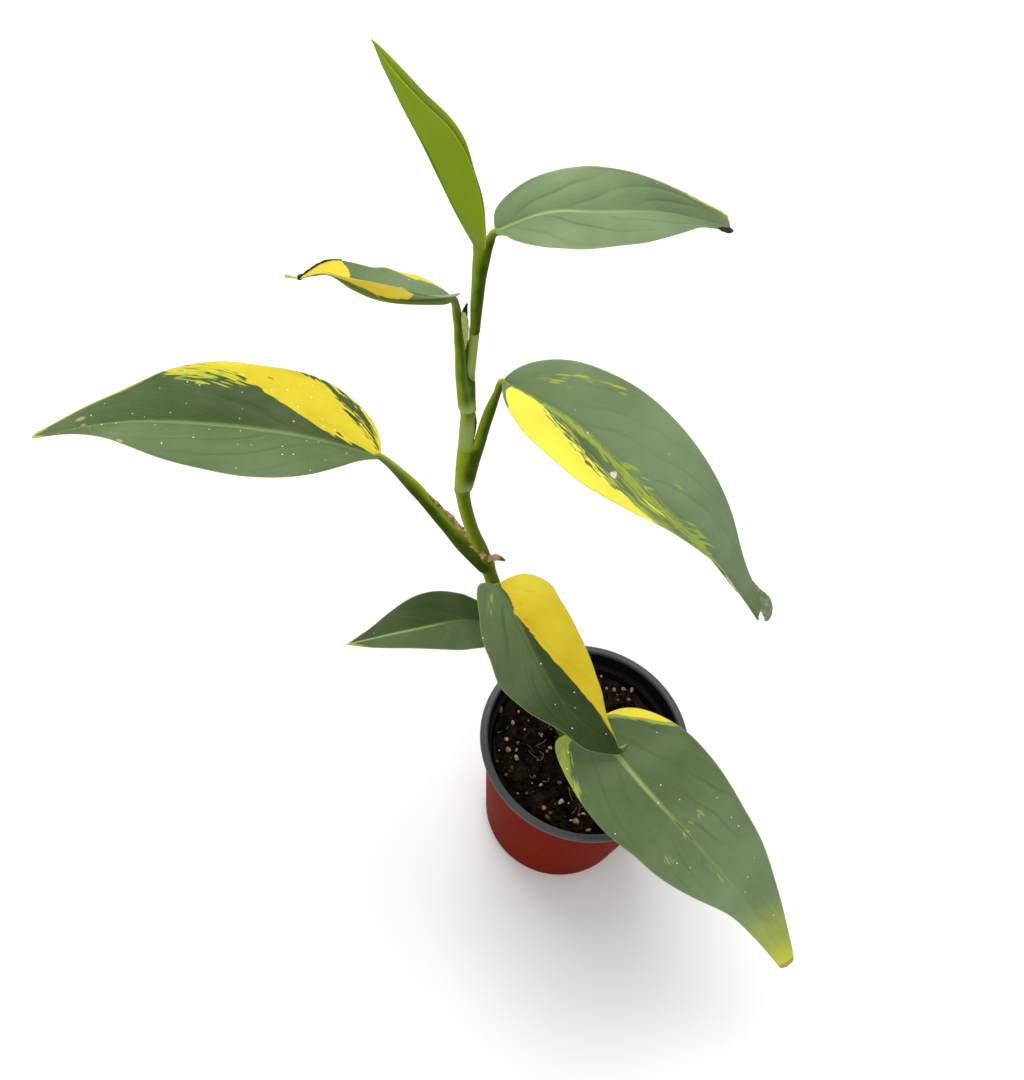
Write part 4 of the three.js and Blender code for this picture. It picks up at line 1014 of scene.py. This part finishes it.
def makeBlade(leaf, number, s, material):
    # rings round upper and under skin; each point goes out by relief, and back by the thickness below
    rows, columns = s["rows"], s["columns"]
    step = np.linspace(0, 1, rows)
    t = step**2 * (2 - step)
    over = np.linspace(-1, 1, columns + 1)
    over = np.sign(over) * (1 - (1 - np.abs(over)) ** 1.25)
    ring = np.concatenate([over, over[-2:0:-1]])
    under = np.concatenate([np.zeros(columns + 1), np.ones(columns - 1)])
    t, side = np.meshgrid(t, ring, indexing="ij")
    under = np.broadcast_to(under, t.shape)
    points, out, width = bladePoints(leaf, t, side)
    reach = np.abs(side)
    length = lengthAlong(lineThrough(leaf["midrib"], np.linspace(0, 1, 90)))[-1]
    # the last millimetres are rounded off, as a quarter circle
    pastRound = np.maximum(t * length - length + s["tipRound"], 0) / s["tipRound"]
    endRound = np.sqrt(np.clip(1 - pastRound ** 2, 0, 1))
    spine = lineThrough(leaf["midrib"], t)
    points = spine + (points - spine) * np.maximum(endRound, 0.02)[..., None]
    phase = veinStart(t, reach, s)
    across = side * width
    # the blade swells between its side veins, with a groove along the midrib and slow waves at the edge
    flat = np.stack([t * length, across + 90.0 * number], -1)
    turn = phase * s["veins"] * length / s["veinsPer"] + 0.4 * (side > 0) + 0.13 * number
    turn = turn + 0.1 * ripples(flat, 30, 77) * smoothStep(0, 0.3, reach)
    swelling = np.sqrt(np.sin(math.pi * turn) ** 2 + 0.01) - 0.6
    inner = smoothStep(0, 1.2, reach * width / 4) * (1 - reach**4)
    inner = inner * smoothStep(0.02, 0.12, t) * smoothStep(1, 0.75, t)
    clear = leaf["creases"] * (0.6 + 0.4 * ripples(flat, 45, 78, 8))
    relief = s["creaseDepth"] * swelling * inner * clear
    relief = relief - s["midribDepth"] * np.exp(-(across / 0.8) ** 2) * (1 - t)
    swing = np.sin(2 * math.pi * (s["waves"] * t + 0.21 * number) + np.where(side > 0, 1.7, 0))
    wave = s["waviness"] * min(leaf["half"]) * swing * reach**2
    wave = wave * smoothStep(0, 0.15, t) * smoothStep(1, 0.8, t)
    relief = relief + wave * (1 - 0.999 * smoothStep(0.93, 1, reach))
    thick = s["thickness"] * np.sqrt(np.maximum(1 - reach**8, 0)) * np.clip(width / 3, 0.25, 1)
    points = points + (relief - under * thick)[..., None] * out

    yellow, wild = toneField(leaf, "yellow", t, side, width, length)
    lime, limeWild = toneField(leaf, "lime", t, side, width, length)
    dry, _ = toneField(leaf, "dry", t, side, width, length)
    green, greenWild = toneField(leaf, "green", t, side, width, length)
    wild = np.where(-green < yellow, np.maximum(greenWild, wild), wild)
    yellow, lime = np.minimum(yellow, -green), np.minimum(lime, -green - 0.3)
    # shade: the green along each half, partly the leaf's own tone and partly painted light and shade
    shades = [easedAlong(values, t) for values in leaf["shade"]]
    shade = np.where(side < 0, shades[0], shades[1])
    shade = shade + (0.5 * (shades[0] + shades[1]) - shade) * (1 - smoothStep(0, 0.12, reach))
    tipLine, baseMore = s["midribLine"]
    ribWidth = (tipLine + baseMore * (1 - t)) * leaf.get("ribWidth", 1)
    limeTone = easedAlong(np.broadcast_to(leaf["limeTone"], 9), t)
    limeShare = easedAlong(np.broadcast_to(leaf["limeShare"], 9), t)
    attributes = {
        "place": np.stack([phase * length, across + 3.7 * number, (1 - reach) * width], -1),
        "tone": np.stack([yellow, lime, dry], -1),
        "kind": np.stack([under, shade, wild], -1),
        "line": np.stack([easedAlong(leaf["ribGlow"], t) * np.exp(-(across / ribWidth) ** 2),
                          turn, inner * clear * (1 - under)], -1),
        "touch": np.stack([leaf["gold"] + 0 * t, limeWild, limeTone], -1),
        "stain": np.stack([leaf["dryTone"] + 0 * t, limeShare, leaf["dust"] + 0 * t], -1),
        "spread": np.stack([t * length, across + 50 * number, under], -1),
    }
    piece = ringPiece(f"blade{number}", points, [material], attributes)
    attach(piece, leaf["node"])


def makeStalk(leaf, number, s, material):
    # the stalk, carried on as the midrib under the blade; its sheath is a groove between two wings
    places = np.array(s["ribPlaces"])
    centre = lineThrough(leaf["midrib"], places)
    forward = directionAlong(leaf["midrib"], places)
    up = easedAlong(leaf["face"], places)
    up = unit(up - (up * forward).sum(-1, keepdims=True) * forward)
    narrow = np.minimum(halfWidth(leaf, 0, places), halfWidth(leaf, 1, places))
    ribs = np.minimum(s["ribs"], np.maximum(0.4 * narrow, 0.12)) * leaf.get("ribScale", 1)
    slope = np.radians(easedAlong(leaf["fold"], places))
    underBlade = centre - up * (ribs + 0.45 * np.cos(slope))[:, None]
    path = np.vstack([leaf["petiole"], underBlade])
    t = np.linspace(0, 1, s["stalkRows"])
    line = lineThrough(path, t)
    radius = easedAlong(list(leaf["sheath"]) + list(ribs), t)
    climb = t * (len(path) - 1) / (len(leaf["petiole"]) - 1)
    opened = 1 - smoothStep(leaf["sheathEnd"] - 0.1, leaf["sheathEnd"] + 0.02, climb)
    angle = np.arange(s["stalkSides"]) / s["stalkSides"] * 2 * math.pi
    turned = np.minimum(angle, 2 * math.pi - angle)
    grooveDepth, grooveWidth = s["groove"]
    wingHeight, wingAngle, wingWidth = s["wings"]
    kneeHeight, kneePlace, kneeWidth = s["knee"]
    groove = np.exp(-(turned / grooveWidth) ** 2)
    wing = np.exp(-(((turned - wingAngle) / wingWidth) ** 2))
    profile = 1 - grooveDepth * opened[:, None] * groove + wingHeight * opened[:, None] * wing
    length = lengthAlong(line)
    knee = kneeHeight * np.exp(-(((climb - kneePlace) / kneeWidth) ** 2))
    # the sheath reaches over to the stem, or to the newest stalk inside it: on that side the ring is
    # moved there, as far as the wing allows, and takes the other's radius
    other, otherRadius = companion(leaf)
    nearest = np.linalg.norm(line[:, None] - other[None], axis=-1).argmin(1)
    forward = unit(np.gradient(line, axis=0))
    gap = other[nearest] - line
    gap = gap - (gap * forward).sum(-1, keepdims=True) * forward
    far = np.maximum(np.linalg.norm(gap, axis=-1), 1e-6)
    allowed = np.interp(climb, np.linspace(0, 1, len(leaf["wing"])), leaf["wing"])
    take = np.minimum(far, allowed)
    full = smoothStep(0.6, 1.0, take / far) * smoothStep(0, 0.5, allowed)
    hug = otherRadius[nearest] + s["sheathGap"]
    radius = radius + full * np.exp(-((far / 1.5) ** 2)) * np.maximum(hug - radius, 0)
    thin = 0.4 * np.exp(-((length / 0.8) ** 2))
    closed = np.clip(take / 1.5, 0, 1)[:, None]
    profile = profile + np.maximum(closed, 1 - smoothStep(1, 6, length)[:, None]) * (1 - profile)
    way = tubeGrid(line, np.ones(len(t)), s["stalkSides"], np.array(leaf["groove"], float)) - line[:, None]
    beside = smoothStep(-0.3, 0.3, (way * (gap / far[:, None])[:, None]).sum(-1))
    reach = (radius * (1 + knee))[:, None] * profile
    reach = reach + beside * full[:, None] * (hug[:, None] - reach) - thin[:, None]
    shift = (gap / far[:, None] * take[:, None])[:, None] * beside[..., None]
    grid = line[:, None] + way * reach[..., None] + shift
    pale = opened[:, None] * np.exp(-(((turned - wingAngle) / 0.14) ** 2)) * 0.15
    dusty = 0.25 * smoothStep(0.75, 1, climb) + leaf.get("footBloom", 0) * (1 - smoothStep(1, 9, length))
    dusty = dusty[:, None] + 0 * pale
    scar = 0.2 * np.exp(-((length / 0.5) ** 2))[:, None] + 0 * pale
    tint = np.stack([dusty, pale, scar], -1)
    # the way of the painted light on the stalk's skin
    lightFrom = leaf.get("lightFrom", greenStem["lightFrom"])
    attributes = skinAttributes(grid, line, tint, lightFrom)
    piece = ringPiece(f"stalk{number}", grid, [material], attributes)
    attach(piece, leaf["node"])


def companion(leaf):
    # what the sheath of a leaf closes round: the newest leaf's stalk, or the stem
    if leaf is greenLeaf:
        t = np.linspace(0, 1, 160)
        return lineThrough(newLeaf["petiole"], t), easedAlong(newLeaf["sheath"], t)
    return stemMeasure


def leatheryLeaf(name, colours):
    # a thick waxy aroid leaf: satin sheen, fine parallel veins, sectors without green, dust specks
    material, tree, surface, place = newMaterial(name)
    # place: length along the side veins, width, distance from the edge; tone: millimetres inside the
    # yellow, lime and dry zones; kind: underside, shade, raggedness; line: midrib, vein phase, how clear
    # the veins are; touch: gold, raggedness of the lime, its tone; stain: dry tone, lime share, dust
    sources, parts = {}, {}
    for label in ("place", "tone", "kind", "line", "touch", "stain", "spread"):
        sources[label] = addNode(tree, "Attribute", {"attribute_name": label}).outputs["Vector"]
        parts[label] = addNode(tree, "SeparateXYZ", None, {0: sources[label]}).outputs
    flow, spread = sources["place"], sources["spread"]

    # ragged edges: noise, about 3 mm across the side veins and 10 mm along them
    course = addNode(tree, "CombineXYZ", None, {
        0: parts["place"]["X"], 1: parts["place"]["Y"], 2: parts["spread"]["X"]})
    along = addNode(tree, "Mapping", None, {"Vector": course, "Scale": (0.32, 0.1, 0.13)})
    ragged = addNode(tree, "TexNoise", None, {
        "Vector": along, "Scale": 1.0, "Detail": 2.0, "Roughness": 0.4})
    swing = addNode(tree, "MapRange", None, {
        "Value": ragged, "From Min": 0.38, "From Max": 0.62, "To Min": -1.0, "To Max": 1.0})
    shift = addNode(tree, "Math", times, {0: swing, 1: parts["kind"]["Z"]})

    # greens: slow clouds, thin paler lines along the side veins; the shade value carries painted light
    # and shade as well as the leaf's own tone, and the grey-green at the light end of the ramp is painted
    # sheen
    cloud = addNode(tree, "TexNoise", None, {
        "Vector": place, "Scale": 45.0, "Detail": 8.0, "Roughness": 0.6})
    lift = addNode(tree, "Math", timesPlus, {0: cloud, 1: 0.4, 2: parts["kind"]["Y"]})
    lifted = addNode(tree, "Math", {"operation": "SUBTRACT"}, {0: lift, 1: 0.2})
    green = addNode(tree, "ValToRGB", None, {0: lifted})
    for position, code in zip((0, 0.33, 0.66, 1), colours["greens"]):
        marks = green.color_ramp.elements
        mark = marks[0] if position == 0 else marks[-1] if position == 1 else marks.new(position)
        mark.color = toLinear(code)
    fineFlow = addNode(tree, "Mapping", None, {"Vector": flow, "Scale": (1.3, 0.02, 0.0)})
    fine = addNode(tree, "TexNoise", None, {"Vector": fineFlow, "Scale": 1.0, "Detail": 2.0})
    veinShare = addNode(tree, "MapRange", None, {
        "Value": fine, "From Min": 0.55, "From Max": 0.8, "To Min": 0.0, "To Max": 0.16})
    veined = addNode(tree, "Mix", rgba, {0: veinShare, 6: green, 7: colours["vein"]})

    # lime zones, then yellow ones with deeper gold clouds; the gold value of each leaf also darkens its
    # yellow as painted shade
    limeShift = addNode(tree, "Math", times, {0: swing, 1: parts["touch"]["Y"]})
    limeField = addNode(tree, "Math", {"operation": "ADD"}, {0: parts["tone"]["Y"], 1: limeShift})
    limeSoft = addNode(tree, "Math", timesPlus, {0: parts["touch"]["Y"], 1: 0.2, 2: 0.35})
    limeLow = addNode(tree, "Math", times, {0: limeSoft, 1: -1.0})
    limeMask = addNode(tree, "MapRange", smooth, {
        "Value": limeField, "From Min": limeLow, "From Max": limeSoft, "To Max": parts["stain"]["Y"]})
    dashes = addNode(tree, "Mapping", None, {
        "Vector": flow, "Scale": (0.8, 0.18, 0.0), "Location": (40, 7, 0)})
    dash = addNode(tree, "TexNoise", None, {"Vector": dashes, "Scale": 1.0, "Detail": 2.0})
    limeLevel = addNode(tree, "Math", timesPlus, {0: parts["touch"]["Z"], 1: 0.3, 2: dash})
    limeBlend = addNode(tree, "MapRange", smooth, {
        "Value": limeLevel, "From Min": 0.42, "From Max": 0.72})
    limeColour = addNode(tree, "Mix", rgba, {0: limeBlend, 6: colours["lime"], 7: colours["limeBright"]})
    limed = addNode(tree, "Mix", rgba, {0: limeMask, 6: veined, 7: limeColour})
    goldCloud = addNode(tree, "TexNoise", None, {"Vector": place, "Scale": 60.0, "Detail": 3.0})
    goldLevel = addNode(tree, "Math", timesPlus, {0: goldCloud, 1: 0.6, 2: parts["touch"]["X"]})
    goldShare = addNode(tree, "MapRange", None, {"Value": goldLevel, "From Min": 0.32, "From Max": 1.32})
    gold = addNode(tree, "Mix", rgba, {0: goldShare, 6: colours["yellow"], 7: colours["gold"]})
    yellowField = addNode(tree, "Math", {"operation": "ADD"}, {0: parts["tone"]["X"], 1: shift})
    yellowMask = addNode(tree, "MapRange", smooth, {
        "Value": yellowField, "From Min": -0.22, "From Max": 0.22})
    yellowed = addNode(tree, "Mix", rgba, {0: yellowMask, 6: limed, 7: gold})

    # side veins: soft creases, with painted shade darkening the blade along them, almost lost where it is
    # yellow
    fold = addNode(tree, "Math", {"operation": "PINGPONG"}, {0: parts["line"]["Y"], 1: 0.5})
    creaseLine = addNode(tree, "MapRange", smooth, {"Value": fold, "From Min": 0.13, "From Max": 0.0})
    crease = addNode(tree, "Math", times, {0: creaseLine, 1: parts["line"]["Z"]})
    paler = addNode(tree, "MapRange", None, {"Value": yellowMask, "To Min": 0.3, "To Max": 0.08})
    creaseShadeShare = addNode(tree, "Math", times, {0: crease, 1: paler})
    creaseShaded = addNode(tree, "Mix", dict(rgba, blend_type="MULTIPLY"), {
        0: creaseShadeShare, 6: yellowed, 7: colours["crease"]})

    # midrib, pale cut edge, underside in a darker olive that is partly its own green and partly painted
    # shade, dry tips
    ribbed = addNode(tree, "Mix", rgba, {0: parts["line"]["X"], 6: creaseShaded, 7: colours["rib"]})
    edge = addNode(tree, "MapRange", smooth, {
        "Value": parts["place"]["Z"], "From Min": 0.6, "From Max": 0.15, "To Max": 0.4})
    edged = addNode(tree, "Mix", rgba, {0: edge, 6: ribbed, 7: colours["edge"]})
    # underside: its olive is partly the leaf's own underside green and partly painted shade
    backShare = addNode(tree, "Math", times, {0: parts["kind"]["X"], 1: 0.7})
    backed = addNode(tree, "Mix", rgba, {0: backShare, 6: edged, 7: colours["back"]})
    keepYellow = addNode(tree, "Mix", rgba, {0: yellowMask, 6: backed, 7: edged})
    dryMask = addNode(tree, "MapRange", smooth, {
        "Value": parts["tone"]["Z"], "From Min": -0.3, "From Max": 0.4})
    dryColour = addNode(tree, "Mix", rgba, {
        0: parts["stain"]["X"], 6: colours["dry"], 7: colours["cream"]})
    dried = addNode(tree, "Mix", rgba, {0: dryMask, 6: keepYellow, 7: dryColour})

    # white dust specks: up to 0.9 mm, in some of the 6 mm cells
    cells = addNode(tree, "TexVoronoi", {"feature": "F1", "voronoi_dimensions": "2D"}, {
        "Vector": spread, "Scale": 0.16})
    chance = addNode(tree, "SeparateColor", None, {0: cells.outputs["Color"]})
    girth = addNode(tree, "MapRange", None, {"Value": chance.outputs[1], "To Min": 0.012, "To Max": 0.06})
    speck = addNode(tree, "Math", {"operation": "LESS_THAN"}, {0: cells.outputs["Distance"], 1: girth})
    picked = addNode(tree, "Math", {"operation": "LESS_THAN"}, {0: chance, 1: parts["stain"]["Z"]})
    speckMask = addNode(tree, "Math", times, {0: speck, 1: picked})
    specked = addNode(tree, "Mix", rgba, {0: speckMask, 6: dried, 7: "#e9ecdf"})

    grain = addNode(tree, "TexNoise", None, {"Vector": place, "Scale": 1400.0, "Detail": 2.0})
    skin = addNode(tree, "Math", timesPlus, {0: grain, 1: 0.2, 2: fine})
    height = addNode(tree, "Math", timesPlus, {0: crease, 1: -0.5, 2: skin})
    bump = addNode(tree, "Bump", None, {"Height": height, "Strength": 0.45, "Distance": 0.0004})
    sheen = addNode(tree, "TexNoise", None, {"Vector": place, "Scale": 70.0, "Detail": 4.0})
    rough = addNode(tree, "MapRange", None, {
        "Value": sheen, "From Min": 0.3, "From Max": 0.7, "To Min": 0.4, "To Max": 0.52})
    setInputs(tree, surface, {
        "Base Color": specked, "Roughness": rough, "IOR": colours["gloss"], "Normal": bump})
    return material


def driedSkin(name, pale, dark, roughness=0.75):
    # a sheath or a leaf tip that has dried: papery, streaked, with darker flecks
    material, tree, surface, place = newMaterial(name)
    cloud = addNode(tree, "TexNoise", None, {
        "Vector": place, "Scale": 600.0, "Detail": 5.0, "Roughness": 0.65})
    share = addNode(tree, "MapRange", None, {"Value": cloud, "From Min": 0.38, "From Max": 0.62})
    colour = addNode(tree, "Mix", rgba, {0: share, 6: pale, 7: dark})
    bump = addNode(tree, "Bump", None, {"Height": cloud, "Strength": 0.5, "Distance": 0.0004})
    setInputs(tree, surface, {"Base Color": colour, "Roughness": roughness, "IOR": 1.2, "Normal": bump})
    return material


# strips: node, material, centre line, widths along it, thickness, raggedness of the width
strips = {
    "dryStrip": ("leaf_4", "tan", [[-103.5, 34.6, 221.9], [-98.2, 32.7, 219.2], [-92.7, 31, 216],
                                   [-87.2, 28.6, 213.3]],
                 [0.5, 1.5, 1.8, 2.4], 0.8, 0.25),
    "tornStrip": ("leaf_4", "tan", [[-87, 27.4, 214.6], [-81.8, 24.6, 212.6], [-77.3, 22.8, 209.6],
                                    [-73.3, 21.4, 206.2], [-69.8, 20.6, 203]],
                  [2.0, 2.8, 3.6, 3.0, 0.8], 0.8, 0.35),
    "darkBud": ("leaf_7", "black", [[-100.9, 44.6, 330], [-101.6, 44.6, 335], [-101.4, 45, 339.6]],
                [1.6, 2.2, 0.8], 1.2, 0.1),
    # darkBract: a thin bract edge beside the internode; its dark grey-brown is partly its dried colour and
    # partly painted shade
    "darkBract": ("leaf_6", "umber", [[-88.2, 40.3, 264], [-89.2, 43.2, 270], [-91, 46, 276]],
                  [0.5, 1.3, 0.3], 0.8, 0.1),
    "sheathTop": ("leaf_6", "paleGreen", [[-98.7, 38.4, 321], [-99.7, 38.5, 330],
                                          [-100.6, 38.6, 336.6], [-101.4, 38.9, 341]],
                  [1.2, 3.2, 3.4, 1.6], 1.0, 0.04),
    "tipFlap": ("leaf_5", "greyGreen", [[44.2, 30, 228.6], [48.6, 29.4, 222.4], [53.2, 28.6, 216.6],
                                        [56.4, 26.4, 211.4], [57, 25, 208]],
                [0.6, 3.4, 6.4, 4.6, 1.6], 0.8, 0.08),
    "tipSpike": ("leaf_3", "paleGreen", [[9.6, -29.8, 157], [11.6, -28.4, 156.6], [13, -26.6, 156.6]],
                 [1.2, 0.9, 0.3], 0.7, 0.05),
    "tipThread": ("leaf_6", "limeGreen", [[-164, 40, 335.4], [-167.6, 39.8, 334.4],
                                          [-171, 39.2, 334.8]],
                  [0.7, 1.0, 1.5], 0.8, 0.1),
}
# rolled-up and dark edges: leaf, half, from and to along it, radii, material
edges = {
    "darkTipEdge": (edgeLeaf, 1, 0.74, 1.0, [0.5, 0.8, 0.6, 0.9], "black"),
    "rolledEdge": (greenLeaf, -1, 0.76, 0.985, [0.15, 0.5, 0.6, 0.5], "limeGreen"),
    "curledTip": (greenLeaf, 1, 0.925, 0.975, [0.4, 0.9, 1.1, 0.8], "black"),
}


def makeStrips():
    # tubes whose width varies by ripples, flattened towards the front
    materials = {
        "tan": driedSkin("driedSheath", "#c29a68", "#6f4f33"),
        # near black: dark strips at a leaf edge, a curled tip and a bud
        "black": driedSkin("nearBlackStrip", "#23261c", "#3b3d30"),
        "umber": driedSkin("dryBractPaintedShade", "#5d5647", "#37322a"),
        "paleGreen": driedSkin("youngSheath", "#9fb263", "#8ba14e", 0.45),
        "greyGreen": driedSkin("witheredGreen", "#8ea178", "#66775a"),
        "limeGreen": driedSkin("rolledLeafEdge", "#a3b94e", "#c3cc7a", 0.45),
    }
    t = np.linspace(0, 1, 90)
    towardsFront = np.array([0.06, -0.63, 0.77])
    for name, (node, kind, path, widths, thick, rough) in strips.items():
        centre = lineThrough(path, t)
        width = lineThrough(np.array(widths)[:, None], t)[:, 0] * (1 + rough * ripples(centre, 2.5, 91))
        around = np.arange(16) / 16 * 2 * math.pi
        profile = 1 + rough * 0.5 * ripples(centre[:, None] + 3.0 * np.sin(around)[:, None], 3, 92)
        flat = thick / np.maximum(width, thick)
        grid = tubeGrid(centre, np.maximum(width, 0.2) / 2, 16, towardsFront, profile, flat)
        attach(ringPiece(name, grid, [materials[kind]]), node)
    for name, (leaf, sign, start, end, radius, kind) in edges.items():
        along = start + (end - start) * t
        centre, _, _ = bladePoints(leaf, along, np.full(t.shape, 0.985 * sign))
        wobble = 1 + 0.2 * ripples(centre, 3, 93)
        grid = tubeGrid(centre, easedAlong(radius, t) * wobble, 14, towardsFront)
        attach(ringPiece(name, grid, [materials[kind]]), leaf["node"])


leafColours = {
    # greens: deep green to grey-green; the grey of the light end is painted sheen
    "greens": ["#263c04", "#40542a", "#61764a", "#82986e"], "vein": "#9db38a", "lime": "#93b04c",
    # gold: a deeper yellow, also used as painted shade on yellow that lies away from the light
    "limeBright": "#cdd23e", "yellow": "#fbf250", "gold": "#d2b400", "rib": "#a9c070", "edge": "#a3b874",
    # crease: painted shade along the side veins; back: the underside, a darker olive that is partly painted
    # shade
    "crease": "#4f6040", "back": "#4d6210", "dry": "#b8964e", "cream": "#efe6c4", "gloss": 1.28,
}
newLeafColours = dict(leafColours, greens=["#4f6c02", "#657d04", "#7e9812", "#a4be40"], vein="#8fa82a",
                      # the young leaf's crease colour: a lighter painted shade along its side veins
                      edge="#bcd858", back="#6f8a06", crease="#9fb080", gloss=1.12)
matureGreen = leatheryLeaf("leatheryLeaf", leafColours)
youngGreen = leatheryLeaf("youngLeaf", newLeafColours)
for order, leafSettings in enumerate(leaves):
    isNew = leafSettings is newLeaf
    makeBlade(leafSettings, order + 1, bladeMake, youngGreen if isNew else matureGreen)
    makeStalk(leafSettings, order + 1, bladeMake, youngStalk if isNew else stalkGreen)
makeStrips()
print("stage: leaves")
